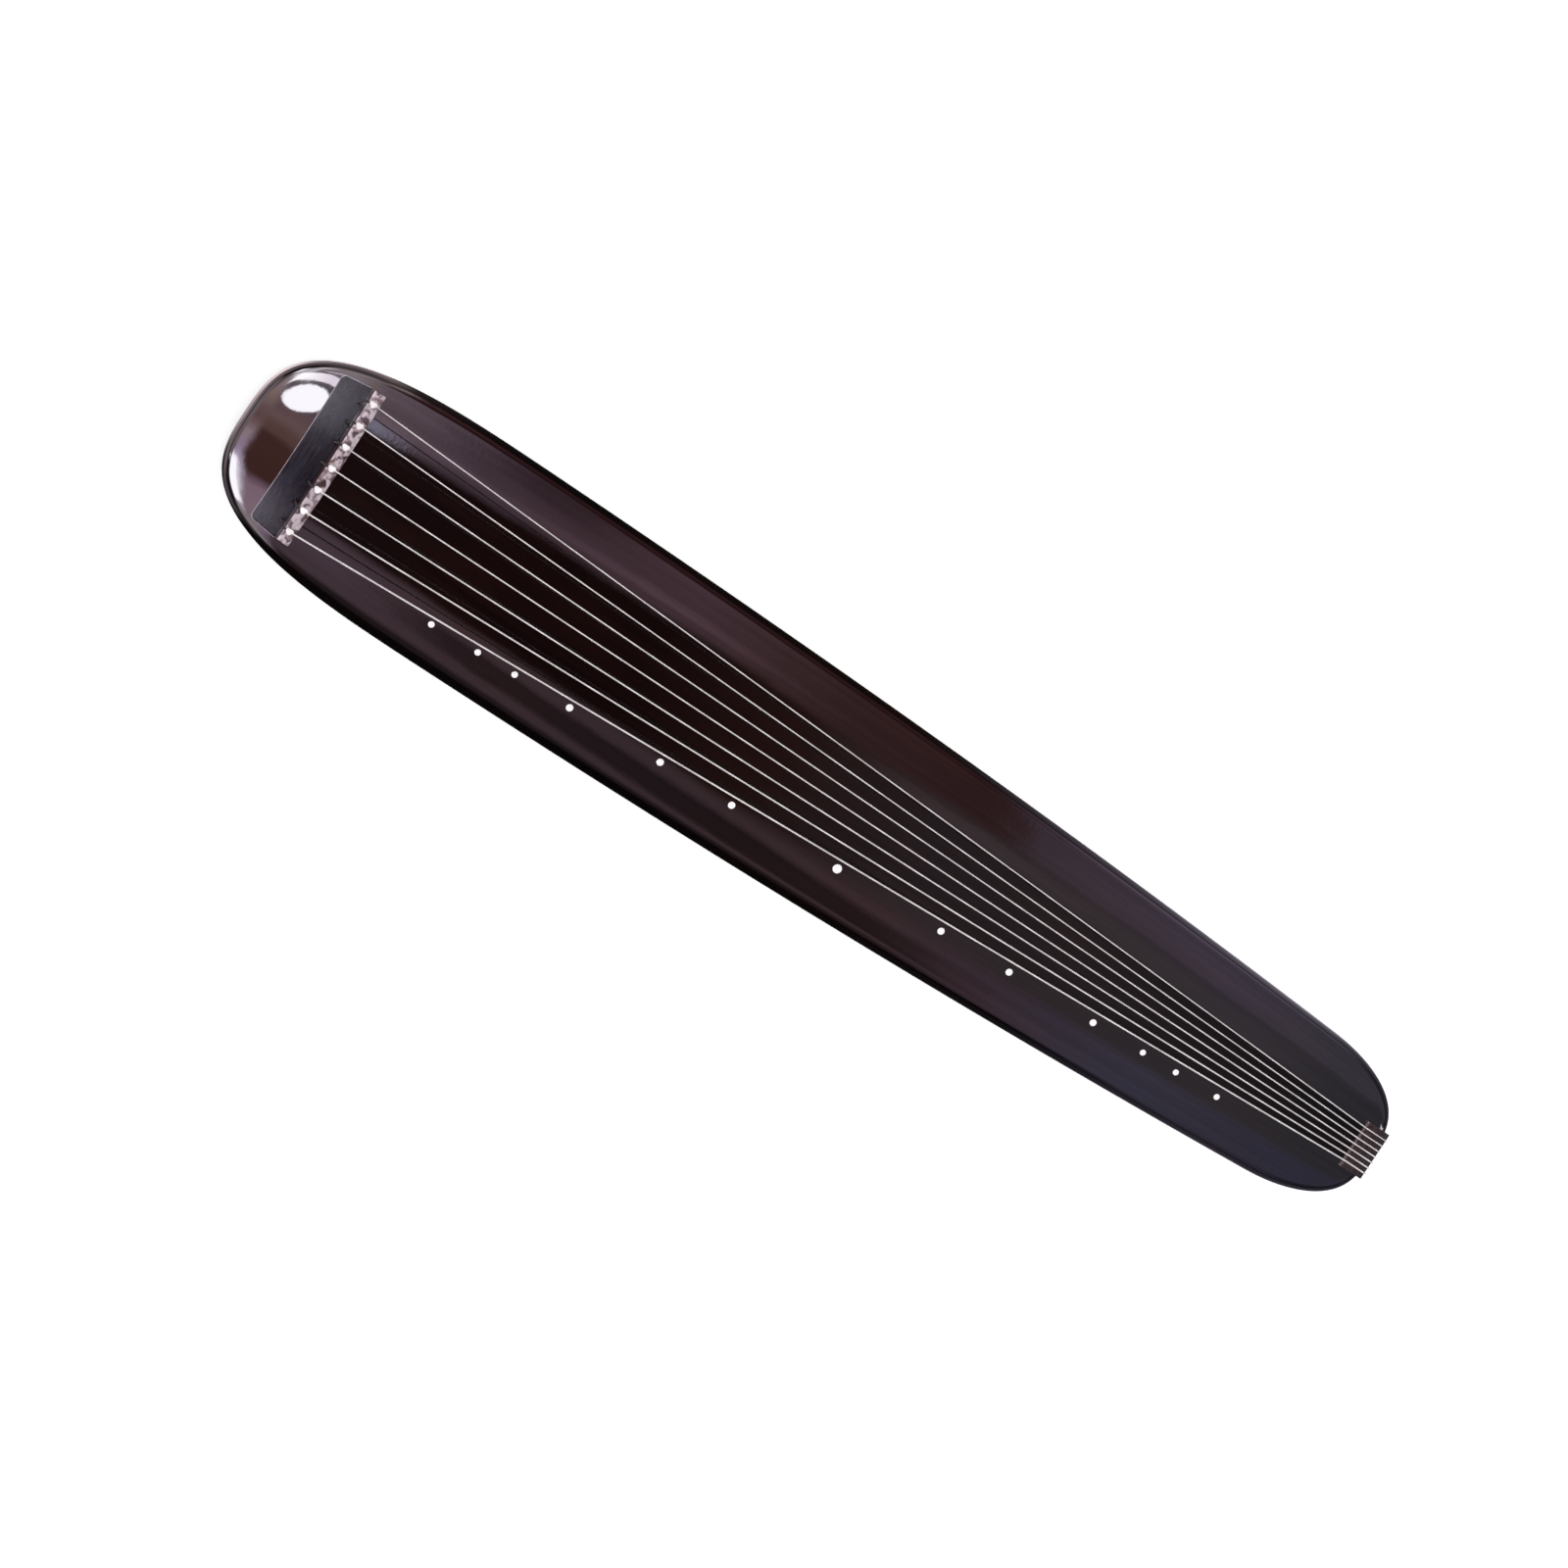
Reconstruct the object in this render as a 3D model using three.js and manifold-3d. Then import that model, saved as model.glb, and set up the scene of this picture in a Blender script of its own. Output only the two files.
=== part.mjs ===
import * as THREE from 'three';
import { mergeVertices } from 'three/addons/utils/BufferGeometryUtils.js';
import Module from 'manifold-3d';

// A seven-string guqin, in millimetres. +X runs from the head to the tail and +Y is the player's side.
// It stands on its two feet and two peg guards at z = 0. Places along it are counted from the head tip.

// Clearances
const seatGap = 0.3;
const overrun = 2;

// Body outline, seen from above
const boardLength = 1216.5;
const boardOutsideStrings = 37;
const headRoundLength = 250;
const tailRoundLength = 92;
const headRoundShares = { along: 3.4, across: 3.0 };
const tailRoundShares = { along: 2.2, across: 3.4 };
const taperShares = { loss: 0.31, bend: 2.05 };
const spineHeadInset = 105;
const spineTailInset = 60;
const headSteps = 9;
const sideSteps = 12;
const tailSteps = 7;

// Soundboard and bottom board
const footHeight = 31;
const bottomThickness = 11;
const crownAtBridge = 36;
const crownAtTail = 28;
const crownBow = 3.5;
const headDrop = 9;
const archAtHead = 21;
const archAtTail = 13;
const topRimRadius = 10;
const headRimRadius = 5.5;
const headRimLength = 130;
const bottomRimRadius = 5;
const archRowShares = [0.26, 0.48, 0.68, 0.85];
const rimTurnShares = [0, 0.34, 0.67, 1];
const plateThickness = 9;
const sideWall = 14;
const headBlockLength = 150;
const tailBlockLength = 82;
const soundPadHalfWidth = 17;
const soundPadThickness = 5;
const cornerSteps = 2;

// Bridge and the apron inlaid in front of it
const bridgeEnd = 87;
const bridgeWidth = 11.2;
const bridgeOutsideStrings = 11.3;
const bridgeRise = 17;
const bridgeArch = 6;
const bridgeInlay = 5;
const bridgeChamfer = 0.8;
const apronWidth = 27;
const apronOutsideBridge = 0.5;
const apronTaper = 3.5;
const apronCornerRadius = 4;
const apronProud = 0.8;
const apronInlay = 4;
const apronChamfer = 0.7;
const barSteps = 10;

// Strings
const stringCount = 7;
const stringSpan = 126;
const stringSpanAtTail = 35.2;
const stringDiameters = [1.48, 1.38, 1.3, 1.24, 1.18, 1.12, 1.06];
const stringSides = 6;
const knotHalf = { x: 3.3, y: 2.6, z: 1.9 };
const knotFromHeadEdge = 4.9;
const knotSides = 7;
const knotRings = 5;
const bendSteps = 3;

// Tail nut and lower nut
const crestFromTail = 23.5;
const tailNutBeforeCrest = 3;
const tailNutOutsideStrings = 6.4;
const tailNutRise = 2;
const tailNutDepth = 13;
const nutRadius = 6;
const tailNutProud = 1;
const lowerNutThickness = 14;
const lowerNutDrop = 1.8;

// Feet and the strings wound round them
const footPlaceShare = 0.7;
const footSpread = 96;
const footCollarRadius = 14;
const footCollarThickness = 2.2;
const footWaistRadius = 10;
const footWaistEnd = 8.4;
const footFlareRadius = 13.5;
const footFlareHeight = 3;
const footBaseRadius = 12.5;
const footTenonRadius = 7;
const footTenonLength = 18;
const footBlockRadius = 17;
const roundSides = 20;
const windingTurnsShare = 1.75;
const windingGap = 0.45;
const windingSeat = 0.4;
const windingSteps = 18;
const outerFootStrings = 4;

// Tuning pegs, their plate and guards
const pegRowInset = 7.6;
const pegHeadOffset = 3.4;
const pegPlateThickness = 3;
const pegPoolHalfWidth = 11.5;
const pegPoolBeyondPegs = 15.8;
const pegPoolCorner = 4;
const pegClearance = 3;
const pegHeadRadius = 7.2;
const pegHeadLength = 6;
const pegNeckRadius = 4.8;
const pegNeckLength = 8.5;
const pegBodyRadius = 5.8;
const pegGripRadius = 6.6;
const pegTipRadius = 3.4;
const pegTipLength = 3;
const pegChamfer = 0.9;
const pegBoreRadius = 2.5;
const pegBoreDepth = 12;
const pegSideHoleDepth = 8.2;
const pegSides = 10;
const sideHoleSides = 8;
const cordRadius = 1;
const cordSides = 6;
const cordHoleRadius = 1.8;
const cordBend = 2;
const tightCordBend = 1.5;
const cordOffBridge = 0.5;
const pegTurnsShare = 1.5;
const pegWindingGap = 0.5;
const pegWindingSteps = 12;
const guardHalfLength = 19;
const guardHalfWidth = 6;
const guardInsidePool = 2;
const guardBehindPegs = 3.6;
const guardTaperShare = 0.8;
const guardSides = 18;

// Sound holes and posts, placed by their share of the string length
const dragonPoolShare = 0.374;
const dragonPoolLength = 210;
const dragonPoolWidth = 27;
const phoenixPondShare = 0.813;
const phoenixPondLength = 105;
const phoenixPondWidth = 25;
const holeCornerSteps = 4;
const heavenPostShare = 0.22;
const heavenPostRadius = 10;
const earthPostShare = 0.55;
const earthPostHalf = 9;

// Inlay dots: string fractions from the bridge, and how far outside string 1 they lie
const inlayFractionShares = [
  1 / 8, 1 / 6, 1 / 5, 1 / 4, 1 / 3, 2 / 5, 1 / 2, 3 / 5, 2 / 3, 3 / 4, 4 / 5, 5 / 6, 7 / 8,
];
const inlayRadii = [2.8, 2.8, 2.8, 3.2, 3.2, 3.2, 4.1, 3.2, 3.2, 3.2, 2.8, 2.8, 2.8];
const inlayThickness = 0.8;
const inlayOutsideAtBridge = 5.7;
const inlayOutsideAtTail = 10.7;
const inlaySides = 10;

// Heights and lengthwise places that follow from the sizes above
const jointZ = footHeight + bottomThickness;
const overallLength = boardLength + tailNutProud + seatGap + stringDiameters[0];
const headTipX = -overallLength / 2;
const bridgeStart = bridgeEnd - bridgeWidth;
const knotPlace = bridgeStart + knotFromHeadEdge;
const apronEnd = bridgeStart - seatGap;
const apronStart = apronEnd - apronWidth;
const nutCrest = boardLength - crestFromTail;
const tailNutFront = nutCrest - tailNutBeforeCrest;
const tailEnd = boardLength + tailNutProud;
const scaleLength = nutCrest - bridgeEnd;
const alongStrings = (share) => bridgeEnd + share * scaleLength;
const hollowEnd = boardLength - tailBlockLength;
const pegPlace = bridgeStart - pegHeadOffset;
const guardPlace = pegPlace + guardBehindPegs;
const footPlace = alongStrings(footPlaceShare);
const heavenPostPlace = alongStrings(heavenPostShare);
const earthPostPlace = alongStrings(earthPostShare);
const plateUnderside = jointZ - pegPlateThickness;
const pegTop = plateUnderside - seatGap;
const pegLength = pegTop - pegClearance;

// Widths that follow from the strings
const widestHalf = stringSpan / 2 + boardOutsideStrings;
const bridgeHalfLength = stringSpan / 2 + bridgeOutsideStrings;
const apronHalfAtBridge = bridgeHalfLength + apronOutsideBridge;
const apronHalfAtHead = apronHalfAtBridge - apronTaper;
const tailNutHalfLength = stringSpanAtTail / 2 + tailNutOutsideStrings;
const pegSpan = stringSpan - pegRowInset;
const pegPoolHalfLength = pegSpan / 2 + pegPoolBeyondPegs;
const guardCentreSide = pegPoolHalfLength - guardInsidePool;
const footSides = [-footSpread / 2, footSpread / 2];
const soundHoles = [
  { place: alongStrings(dragonPoolShare), length: dragonPoolLength, width: dragonPoolWidth },
  { place: alongStrings(phoenixPondShare), length: phoenixPondLength, width: phoenixPondWidth },
];

const wasm = await Module();
wasm.setup();
const guqin = new THREE.Group();

const blend = (from, to, share) => from + (to - from) * share;
const evenly = (span, count, index) => -span / 2 + (span * index) / (count - 1);

// Surface of the soundboard: an arch across the body, bowed along it and falling away at the head
function sideHalf(place) {
  const along = Math.max(0, (place - headRoundLength) / (boardLength - headRoundLength));
  return widestHalf * (1 - taperShares.loss * along ** taperShares.bend);
}

function crownZ(place) {
  const along = (place - bridgeEnd) / (boardLength - bridgeEnd);
  const bow = 4 * crownBow * along * (1 - along);
  const forehead = Math.max(0, 1 - place / bridgeEnd);
  return jointZ + blend(crownAtBridge, crownAtTail, along) + bow - headDrop * forehead ** 2;
}

function archDrop(place, side) {
  return blend(archAtHead, archAtTail, place / boardLength) * (side / sideHalf(place)) ** 2;
}

const surfaceZ = (place, side) => crownZ(place) - archDrop(place, side);

// Outline from the head tip along the player's side to the tail tip and back, as [place, side] pairs
function halfOutline() {
  const points = [];
  const head = headRoundShares;
  for (let step = 0; step < headSteps; step += 1) {
    const angle = (Math.PI / 2) * (step / headSteps);
    const place = headRoundLength * (1 - Math.cos(angle) ** (2 / head.along));
    points.push([place, widestHalf * Math.sin(angle) ** (2 / head.across)]);
  }
  const tailRoundStart = boardLength - tailRoundLength;
  for (let step = 0; step < sideSteps; step += 1) {
    const place = blend(headRoundLength, tailRoundStart, step / sideSteps);
    points.push([place, sideHalf(place)]);
  }
  const tail = tailRoundShares;
  for (let step = 0; step <= tailSteps; step += 1) {
    const angle = (Math.PI / 2) * (step / tailSteps);
    const place = tailRoundStart + tailRoundLength * Math.sin(angle) ** (2 / tail.along);
    points.push([place, sideHalf(place) * Math.max(0, Math.cos(angle)) ** (2 / tail.across)]);
  }
  points[points.length - 1][1] = 0;
  return points;
}

const half = halfOutline();
const outline = [...half, ...half.slice(1, -1).reverse().map(([place, side]) => [place, -side])];

// Points between the spine and the outline: at a share of the way, and drawn in from the outline by a length
const spineAt = (place) => Math.min(Math.max(place, spineHeadInset), boardLength - spineTailInset);

function towardsSpine([place, side], share) {
  const spine = spineAt(place);
  return [spine + (place - spine) * share, side * share];
}

function drawnIn([place, side], inset) {
  const reach = Math.hypot(place - spineAt(place), side);
  return towardsSpine([place, side], Math.max(0, reach - inset) / reach);
}

// The soundboard's edge is rounded over more tightly round the head
const rimRadius = ([place]) => blend(headRimRadius, topRimRadius, Math.min(1, place / headRimLength));

const atHeight = ([place, side], z) => new THREE.Vector3(headTipX + place, side, z);

// Closed solid from rings of points, the first and last of which lie on the spine or close on themselves
function ringSolid(rings) {
  const positions = [];
  const push = (...corners) => {
    const [a, b, c] = corners;
    const distinct = !a.equals(b) && !b.equals(c) && !c.equals(a);
    if (distinct) corners.forEach((corner) => positions.push(corner.x, corner.y, corner.z));
  };
  for (let row = 0; row + 1 < rings.length; row += 1) {
    const [inner, outer] = [rings[row], rings[row + 1]];
    inner.forEach((point, index) => {
      const next = (index + 1) % inner.length;
      push(point, inner[next], outer[next]);
      push(point, outer[next], outer[index]);
    });
  }
  return fromTriangles(positions);
}

function fromTriangles(positions) {
  const geometry = new THREE.BufferGeometry();
  geometry.setAttribute('position', new THREE.Float32BufferAttribute(positions, 3));
  return geometry;
}

// Geometry to boolean solid and back
function toSolid(geometry) {
  const bare = geometry.clone();
  bare.deleteAttribute('normal');
  bare.deleteAttribute('uv');
  const merged = mergeVertices(bare);
  return new wasm.Manifold(new wasm.Mesh({
    numProp: 3,
    vertProperties: new Float32Array(merged.attributes.position.array),
    triVerts: new Uint32Array(merged.index.array),
  }));
}

function toGeometry(solid) {
  const mesh = solid.getMesh();
  const geometry = new THREE.BufferGeometry();
  const vertices = new Float32Array(mesh.vertProperties);
  geometry.setAttribute('position', new THREE.BufferAttribute(vertices, mesh.numProp));
  geometry.setIndex(new THREE.BufferAttribute(new Uint32Array(mesh.triVerts), 1));
  return geometry;
}

function cut(geometry, tools) {
  return toGeometry(tools.reduce((solid, tool) => solid.subtract(toSolid(tool)), toSolid(geometry)));
}

// Upright prism of a plan outline, between two heights
function prism(shape, low, high, curveSteps) {
  const geometry = new THREE.ExtrudeGeometry(shape, {
    depth: high - low, bevelEnabled: false, curveSegments: curveSteps,
  });
  return geometry.translate(0, 0, low);
}

function roundedPlan(place, side, halfX, halfY, radius) {
  const [x, y] = [headTipX + place, side];
  const shape = new THREE.Shape();
  shape.absarc(x + halfX - radius, y + halfY - radius, radius, 0, Math.PI / 2);
  shape.absarc(x - halfX + radius, y + halfY - radius, radius, Math.PI / 2, Math.PI);
  shape.absarc(x - halfX + radius, y - halfY + radius, radius, Math.PI, 1.5 * Math.PI);
  shape.absarc(x + halfX - radius, y - halfY + radius, radius, 1.5 * Math.PI, 2 * Math.PI);
  return shape;
}

function post(place, side, radius, low, high, sides) {
  const geometry = new THREE.CylinderGeometry(radius, radius, high - low, sides);
  return geometry.rotateX(Math.PI / 2).translate(headTipX + place, side, (low + high) / 2);
}

// Turned piece about an upright axis, from [radius, height] pairs given from the bottom up
function turned(profile, sides) {
  const points = profile.map(([radius, height]) => new THREE.Vector2(radius, height));
  return new THREE.LatheGeometry(points, sides).rotateX(Math.PI / 2);
}

// Bar laid across the body: a [place, height] section swept across, following a drop towards its ends
function archedBar(section, halfLength, drop) {
  const rings = [];
  for (let step = 0; step <= barSteps; step += 1) {
    const side = evenly(2 * halfLength, barSteps + 1, step);
    rings.push(section.map(([place, z]) => atHeight([place, side], z - drop(place, side))));
  }
  const positions = [];
  const push = (...corners) => corners.forEach((corner) => positions.push(corner.x, corner.y, corner.z));
  for (let step = 0; step < barSteps; step += 1) {
    section.forEach((corner, index) => {
      const next = (index + 1) % section.length;
      push(rings[step][index], rings[step + 1][next], rings[step][next]);
      push(rings[step][index], rings[step + 1][index], rings[step + 1][next]);
    });
  }
  const flat = section.map(([place, z]) => new THREE.Vector2(place, z));
  for (const [a, b, c] of THREE.ShapeUtils.triangulateShape(flat, [])) {
    const [near, far] = [rings[0], rings[barSteps]];
    push(near[a], near[b], near[c]);
    push(far[a], far[c], far[b]);
  }
  return fromTriangles(positions);
}

// Corners of a route rounded off by arcs, and a tube swept along the result
function rounded(corners, radius, steps) {
  const points = [corners[0]];
  for (let index = 1; index + 1 < corners.length; index += 1) {
    const corner = corners[index];
    const back = corners[index - 1].clone().sub(corner).normalize();
    const ahead = corners[index + 1].clone().sub(corner).normalize();
    const bend = Math.PI - back.angleTo(ahead);
    const axis = ahead.clone().cross(back).normalize();
    const inward = back.clone().add(ahead).normalize();
    const centre = inward.multiplyScalar(radius / Math.cos(bend / 2)).add(corner);
    const start = back.multiplyScalar(radius * Math.tan(bend / 2)).add(corner).sub(centre);
    for (let step = 0; step <= steps; step += 1) {
      points.push(start.clone().applyAxisAngle(axis, (bend * step) / steps).add(centre));
    }
  }
  points.push(corners[corners.length - 1]);
  return points;
}

function tubeAlong(points, radius, sides) {
  const rings = [];
  let across = null;
  points.forEach((point, index) => {
    const before = points[Math.max(0, index - 1)];
    const after = points[Math.min(points.length - 1, index + 1)];
    const arriving = point.clone().sub(before).normalize();
    const leaving = after.clone().sub(point).normalize();
    const along = arriving.clone().add(leaving).normalize();
    if (!across) across = new THREE.Vector3(0, 0, 1).cross(along);
    if (across.lengthSq() < Number.EPSILON) across.set(0, 1, 0);
    across.addScaledVector(along, -across.dot(along)).normalize();
    const up = along.clone().cross(across);
    const ring = [];
    for (let side = 0; side < sides; side += 1) {
      const angle = (2 * Math.PI * side) / sides;
      const spoke = across.clone().multiplyScalar(Math.cos(angle)).addScaledVector(up, Math.sin(angle));
      ring.push(spoke.multiplyScalar(radius).add(point));
    }
    rings.push(ring);
  });
  const cap = (point) => Array(sides).fill(point);
  const closed = [cap(points[0]), ...rings, cap(points[points.length - 1])];
  return ringSolid(closed);
}

// Turns of a winding about an upright axis, going down, and the least gap between them
function windingPoints(centre, radius, startAngle, sense, turns, drop, topZ, steps) {
  const count = Math.round(turns * steps);
  const points = [];
  for (let step = 0; step <= count; step += 1) {
    const angle = startAngle + (sense * 2 * Math.PI * step) / steps;
    const [x, y] = [centre.x + radius * Math.cos(angle), centre.y + radius * Math.sin(angle)];
    points.push(new THREE.Vector3(x, y, topZ - (drop * step) / steps));
  }
  return points;
}

function leastGap(points, steps, diameter) {
  let least = Infinity;
  for (let first = 0; first < points.length; first += 1) {
    for (let second = first + Math.floor(steps / 2); second < points.length; second += 1) {
      least = Math.min(least, points[first].distanceTo(points[second]) - diameter);
    }
  }
  return least;
}

// Materials
const finish = (color, roughness) => new THREE.MeshStandardMaterial({ color, roughness });
const lacquer = () => finish(0x221a1d, 0.12);
const rosewood = () => finish(0x5a4146, 0.3);
const apronWood = () => finish(0x2a2c33, 0.45);
const rawWood = () => finish(0x9a7448, 0.7);
const shell = () => finish(0xc9c6c8, 0.25);
const stringSheath = () => finish(0xd5d0cf, 0.35);
const silk = () => finish(0x2b211f, 0.8);

function add(name, geometry, material) {
  const bare = geometry.index ? geometry.toNonIndexed() : geometry;
  bare.computeVertexNormals();
  const mesh = new THREE.Mesh(bare, material);
  mesh.name = name;
  guqin.add(mesh);
  return mesh;
}

// Soundboard: carved from one plank, hollow below, with blocks left for the feet and a pad over each hole
function soundboardShell() {
  const rings = [outline.map((point) => {
    const spine = towardsSpine(point, 0);
    return atHeight(spine, surfaceZ(...spine));
  })];
  for (const share of archRowShares) {
    rings.push(outline.map((point) => {
      const inner = towardsSpine(drawnIn(point, rimRadius(point)), share);
      return atHeight(inner, surfaceZ(...inner));
    }));
  }
  for (const share of rimTurnShares) {
    const angle = (Math.PI / 2) * share;
    const [insetShare, fallShare] = [1 - Math.sin(angle), 1 - Math.cos(angle)];
    rings.push(outline.map((point) => {
      const inner = drawnIn(point, rimRadius(point) * insetShare);
      return atHeight(inner, surfaceZ(...inner) - rimRadius(point) * fallShare);
    }));
  }
  rings.push(outline.map((point) => atHeight(point, jointZ)));
  rings.push(outline.map((point) => atHeight(towardsSpine(point, 0), jointZ)));
  return ringSolid(rings);
}

function hollow() {
  const ceiling = ([place, side]) => surfaceZ(place, side) - plateThickness;
  const rings = [outline.map((point) => {
    const spine = towardsSpine(point, 0);
    return atHeight(spine, ceiling(spine));
  })];
  for (const share of [...archRowShares, 1]) {
    rings.push(outline.map((point) => {
      const inner = towardsSpine(drawnIn(point, sideWall), share);
      return atHeight(inner, ceiling(inner));
    }));
  }
  rings.push(outline.map((point) => atHeight(drawnIn(point, sideWall), jointZ - overrun)));
  rings.push(outline.map((point) => atHeight(towardsSpine(point, 0), jointZ - overrun)));
  const middle = (headBlockLength + hollowEnd) / 2;
  const trim = prism(
    roundedPlan(middle, 0, (hollowEnd - headBlockLength) / 2, widestHalf, sideWall),
    jointZ - overrun, jointZ + crownAtBridge + crownBow, cornerSteps,
  );
  let solid = toSolid(ringSolid(rings)).intersect(toSolid(trim));
  for (const side of footSides) {
    const block = post(footPlace, side, footBlockRadius, jointZ - 2 * overrun, crownZ(footPlace), roundSides);
    solid = solid.subtract(toSolid(block));
  }
  for (const { place, length } of soundHoles) {
    const padLow = crownZ(place) - plateThickness - soundPadThickness;
    const plan = roundedPlan(place, 0, length / 2, soundPadHalfWidth, soundPadThickness);
    solid = solid.subtract(toSolid(prism(plan, padLow, crownZ(place), cornerSteps)));
  }
  return toGeometry(solid);
}

// Bridge: hardwood bar let into the head, its top bowed across the strings
const bridgeDrop = (place, side) => bridgeArch * (side / (stringSpan / 2)) ** 2;
const bridgeTopZ = crownZ(knotPlace) + bridgeRise;

function bridgeSection(grown) {
  const [start, end] = [bridgeStart - grown, bridgeEnd + grown];
  const low = crownZ(knotPlace) - bridgeInlay - grown;
  return [
    [start, low], [end, low], [end, bridgeTopZ - bridgeChamfer], [end - bridgeChamfer, bridgeTopZ],
    [start + bridgeChamfer, bridgeTopZ], [start, bridgeTopZ - bridgeChamfer],
  ];
}

const bridge = archedBar(bridgeSection(0), bridgeHalfLength, bridgeDrop);
const bridgeSlot = archedBar(bridgeSection(seatGap), bridgeHalfLength + seatGap, bridgeDrop);

// Apron: dark strip inlaid in front of the bridge, with rounded head-side corners
function apronPlan(grown) {
  const x = (place) => headTipX + place;
  const [start, end, radius] = [apronStart - grown, apronEnd + grown, apronCornerRadius];
  const [atHead, atBridge] = [apronHalfAtHead + grown, apronHalfAtBridge + grown];
  const shape = new THREE.Shape();
  shape.moveTo(x(end), -atBridge);
  shape.lineTo(x(end), atBridge);
  shape.lineTo(x(start + radius), atHead);
  shape.quadraticCurveTo(x(start), atHead, x(start), atHead - radius);
  shape.lineTo(x(start), radius - atHead);
  shape.quadraticCurveTo(x(start), -atHead, x(start + radius), -atHead);
  return shape;
}

function apronBar(grown, chamfer) {
  const [start, end] = [apronStart - grown, apronEnd + grown];
  const top = (place) => crownZ(place) + apronProud;
  const low = (place) => crownZ(place) - apronInlay - grown;
  const section = [
    [start, low(start)], [end, low(end)], [end, top(end)],
    [start + chamfer, top(start + chamfer)], [start, top(start) - chamfer],
  ];
  const plan = prism(apronPlan(grown), jointZ, bridgeTopZ, holeCornerSteps);
  const bar = toSolid(archedBar(section, apronHalfAtBridge + overrun, archDrop));
  return toGeometry(bar.intersect(toSolid(plan)));
}

// Peg row: one hole through the apron, the head and the peg plate over each peg
const pegSide = (index) => evenly(pegSpan, stringCount, index);
const cordHoles = Array.from({ length: stringCount }, (_, index) => (
  post(pegPlace, pegSide(index), cordHoleRadius, plateUnderside - overrun, bridgeTopZ, pegSides)
));

const apron = cut(apronBar(0, apronChamfer), cordHoles);
const apronRecess = apronBar(seatGap, apronChamfer);

// Tail nut and lower nut: hardwood let into the tail, rounded where the strings bend round them
const nutTopZ = crownZ(nutCrest) + tailNutRise;
const nutLowZ = nutTopZ - tailNutDepth;

function quarter(place, z, radius, from) {
  return Array.from({ length: bendSteps + 1 }, (_, step) => {
    const angle = from - (Math.PI / 2) * (step / bendSteps);
    return [place + radius * Math.cos(angle), z + radius * Math.sin(angle)];
  });
}

const nutCorner = quarter(tailEnd - nutRadius, nutTopZ - nutRadius, nutRadius, Math.PI / 2).reverse();
const tailNutSection = [
  [tailNutFront, nutLowZ], [tailEnd, nutLowZ], ...nutCorner,
  [nutCrest, nutTopZ], [tailNutFront, nutTopZ - tailNutRise / 2],
];
const noDrop = () => 0;
const tailNut = archedBar(tailNutSection, tailNutHalfLength, noDrop);
const tailNutRecess = archedBar([
  [tailNutFront - seatGap, nutLowZ - seatGap], [tailEnd + overrun, nutLowZ - seatGap],
  [tailEnd + overrun, nutTopZ + overrun], [tailNutFront - seatGap, nutTopZ + overrun],
], tailNutHalfLength + seatGap, noDrop);

const lowerNutFront = tailEnd - lowerNutThickness;
const lowerNutLowZ = footHeight - lowerNutDrop;
const lowerCorner = quarter(tailEnd - nutRadius, lowerNutLowZ + nutRadius, nutRadius, 0).reverse();
const lowerNut = archedBar([
  ...lowerCorner, [tailEnd, jointZ - seatGap],
  [lowerNutFront, jointZ - seatGap], [lowerNutFront, lowerNutLowZ],
], tailNutHalfLength, noDrop);
const lowerNutRecess = archedBar([
  [lowerNutFront - seatGap, footHeight - overrun], [tailEnd + overrun, footHeight - overrun],
  [tailEnd + overrun, jointZ + overrun], [lowerNutFront - seatGap, jointZ + overrun],
], tailNutHalfLength + seatGap, noDrop);

// Inlay dots in the soundboard, outside string 1
function inlaySpot(share) {
  const place = alongStrings(share);
  const outside = blend(inlayOutsideAtBridge, inlayOutsideAtTail, share);
  const side = -blend(stringSpan, stringSpanAtTail, share) / 2 - outside;
  const rise = archDrop(place, side + inlayThickness) - archDrop(place, side);
  const tilt = Math.atan2(-rise, inlayThickness);
  return { place, side, tilt, z: surfaceZ(place, side) };
}

function inlayDisc(index, grown) {
  const spot = inlaySpot(inlayFractionShares[index]);
  const radius = inlayRadii[index] + grown;
  const disc = new THREE.CylinderGeometry(radius, radius, inlayThickness + grown, inlaySides);
  disc.rotateX(Math.PI / 2 - spot.tilt).translate(headTipX + spot.place, spot.side, spot.z);
  const normal = new THREE.Vector3(0, -Math.sin(spot.tilt), Math.cos(spot.tilt));
  return disc.translate(...normal.multiplyScalar(grown ? 0 : -inlayThickness / 2 + seatGap / 2).toArray());
}

const inlays = inlayRadii.map((radius, index) => inlayDisc(index, 0));
const inlayRecesses = inlayRadii.map((radius, index) => inlayDisc(index, seatGap + inlayThickness / 2));

const tenonTop = footHeight + footTenonLength;
const footSockets = footSides.map((side) => (
  post(footPlace, side, footTenonRadius + seatGap, footHeight - overrun, tenonTop + seatGap, roundSides)
));

add('soundboard', cut(soundboardShell(), [
  hollow(), bridgeSlot, apronRecess, tailNutRecess, ...cordHoles, ...footSockets, ...inlayRecesses,
]), lacquer());

// Bottom board: flat plank with the sound holes, the peg pool, the foot sockets and the lower nut's notch
function bottomBoardShell() {
  const rings = [
    outline.map((point) => atHeight(towardsSpine(point, 0), jointZ)),
    outline.map((point) => atHeight(point, jointZ)),
  ];
  for (const share of rimTurnShares) {
    const angle = (Math.PI / 2) * share;
    const inset = bottomRimRadius * (1 - Math.cos(angle));
    const z = footHeight + bottomRimRadius * (1 - Math.sin(angle));
    rings.push(outline.map((point) => atHeight(drawnIn(point, inset), z)));
  }
  rings.push(outline.map((point) => atHeight(towardsSpine(point, 0), footHeight)));
  return ringSolid(rings);
}

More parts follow.
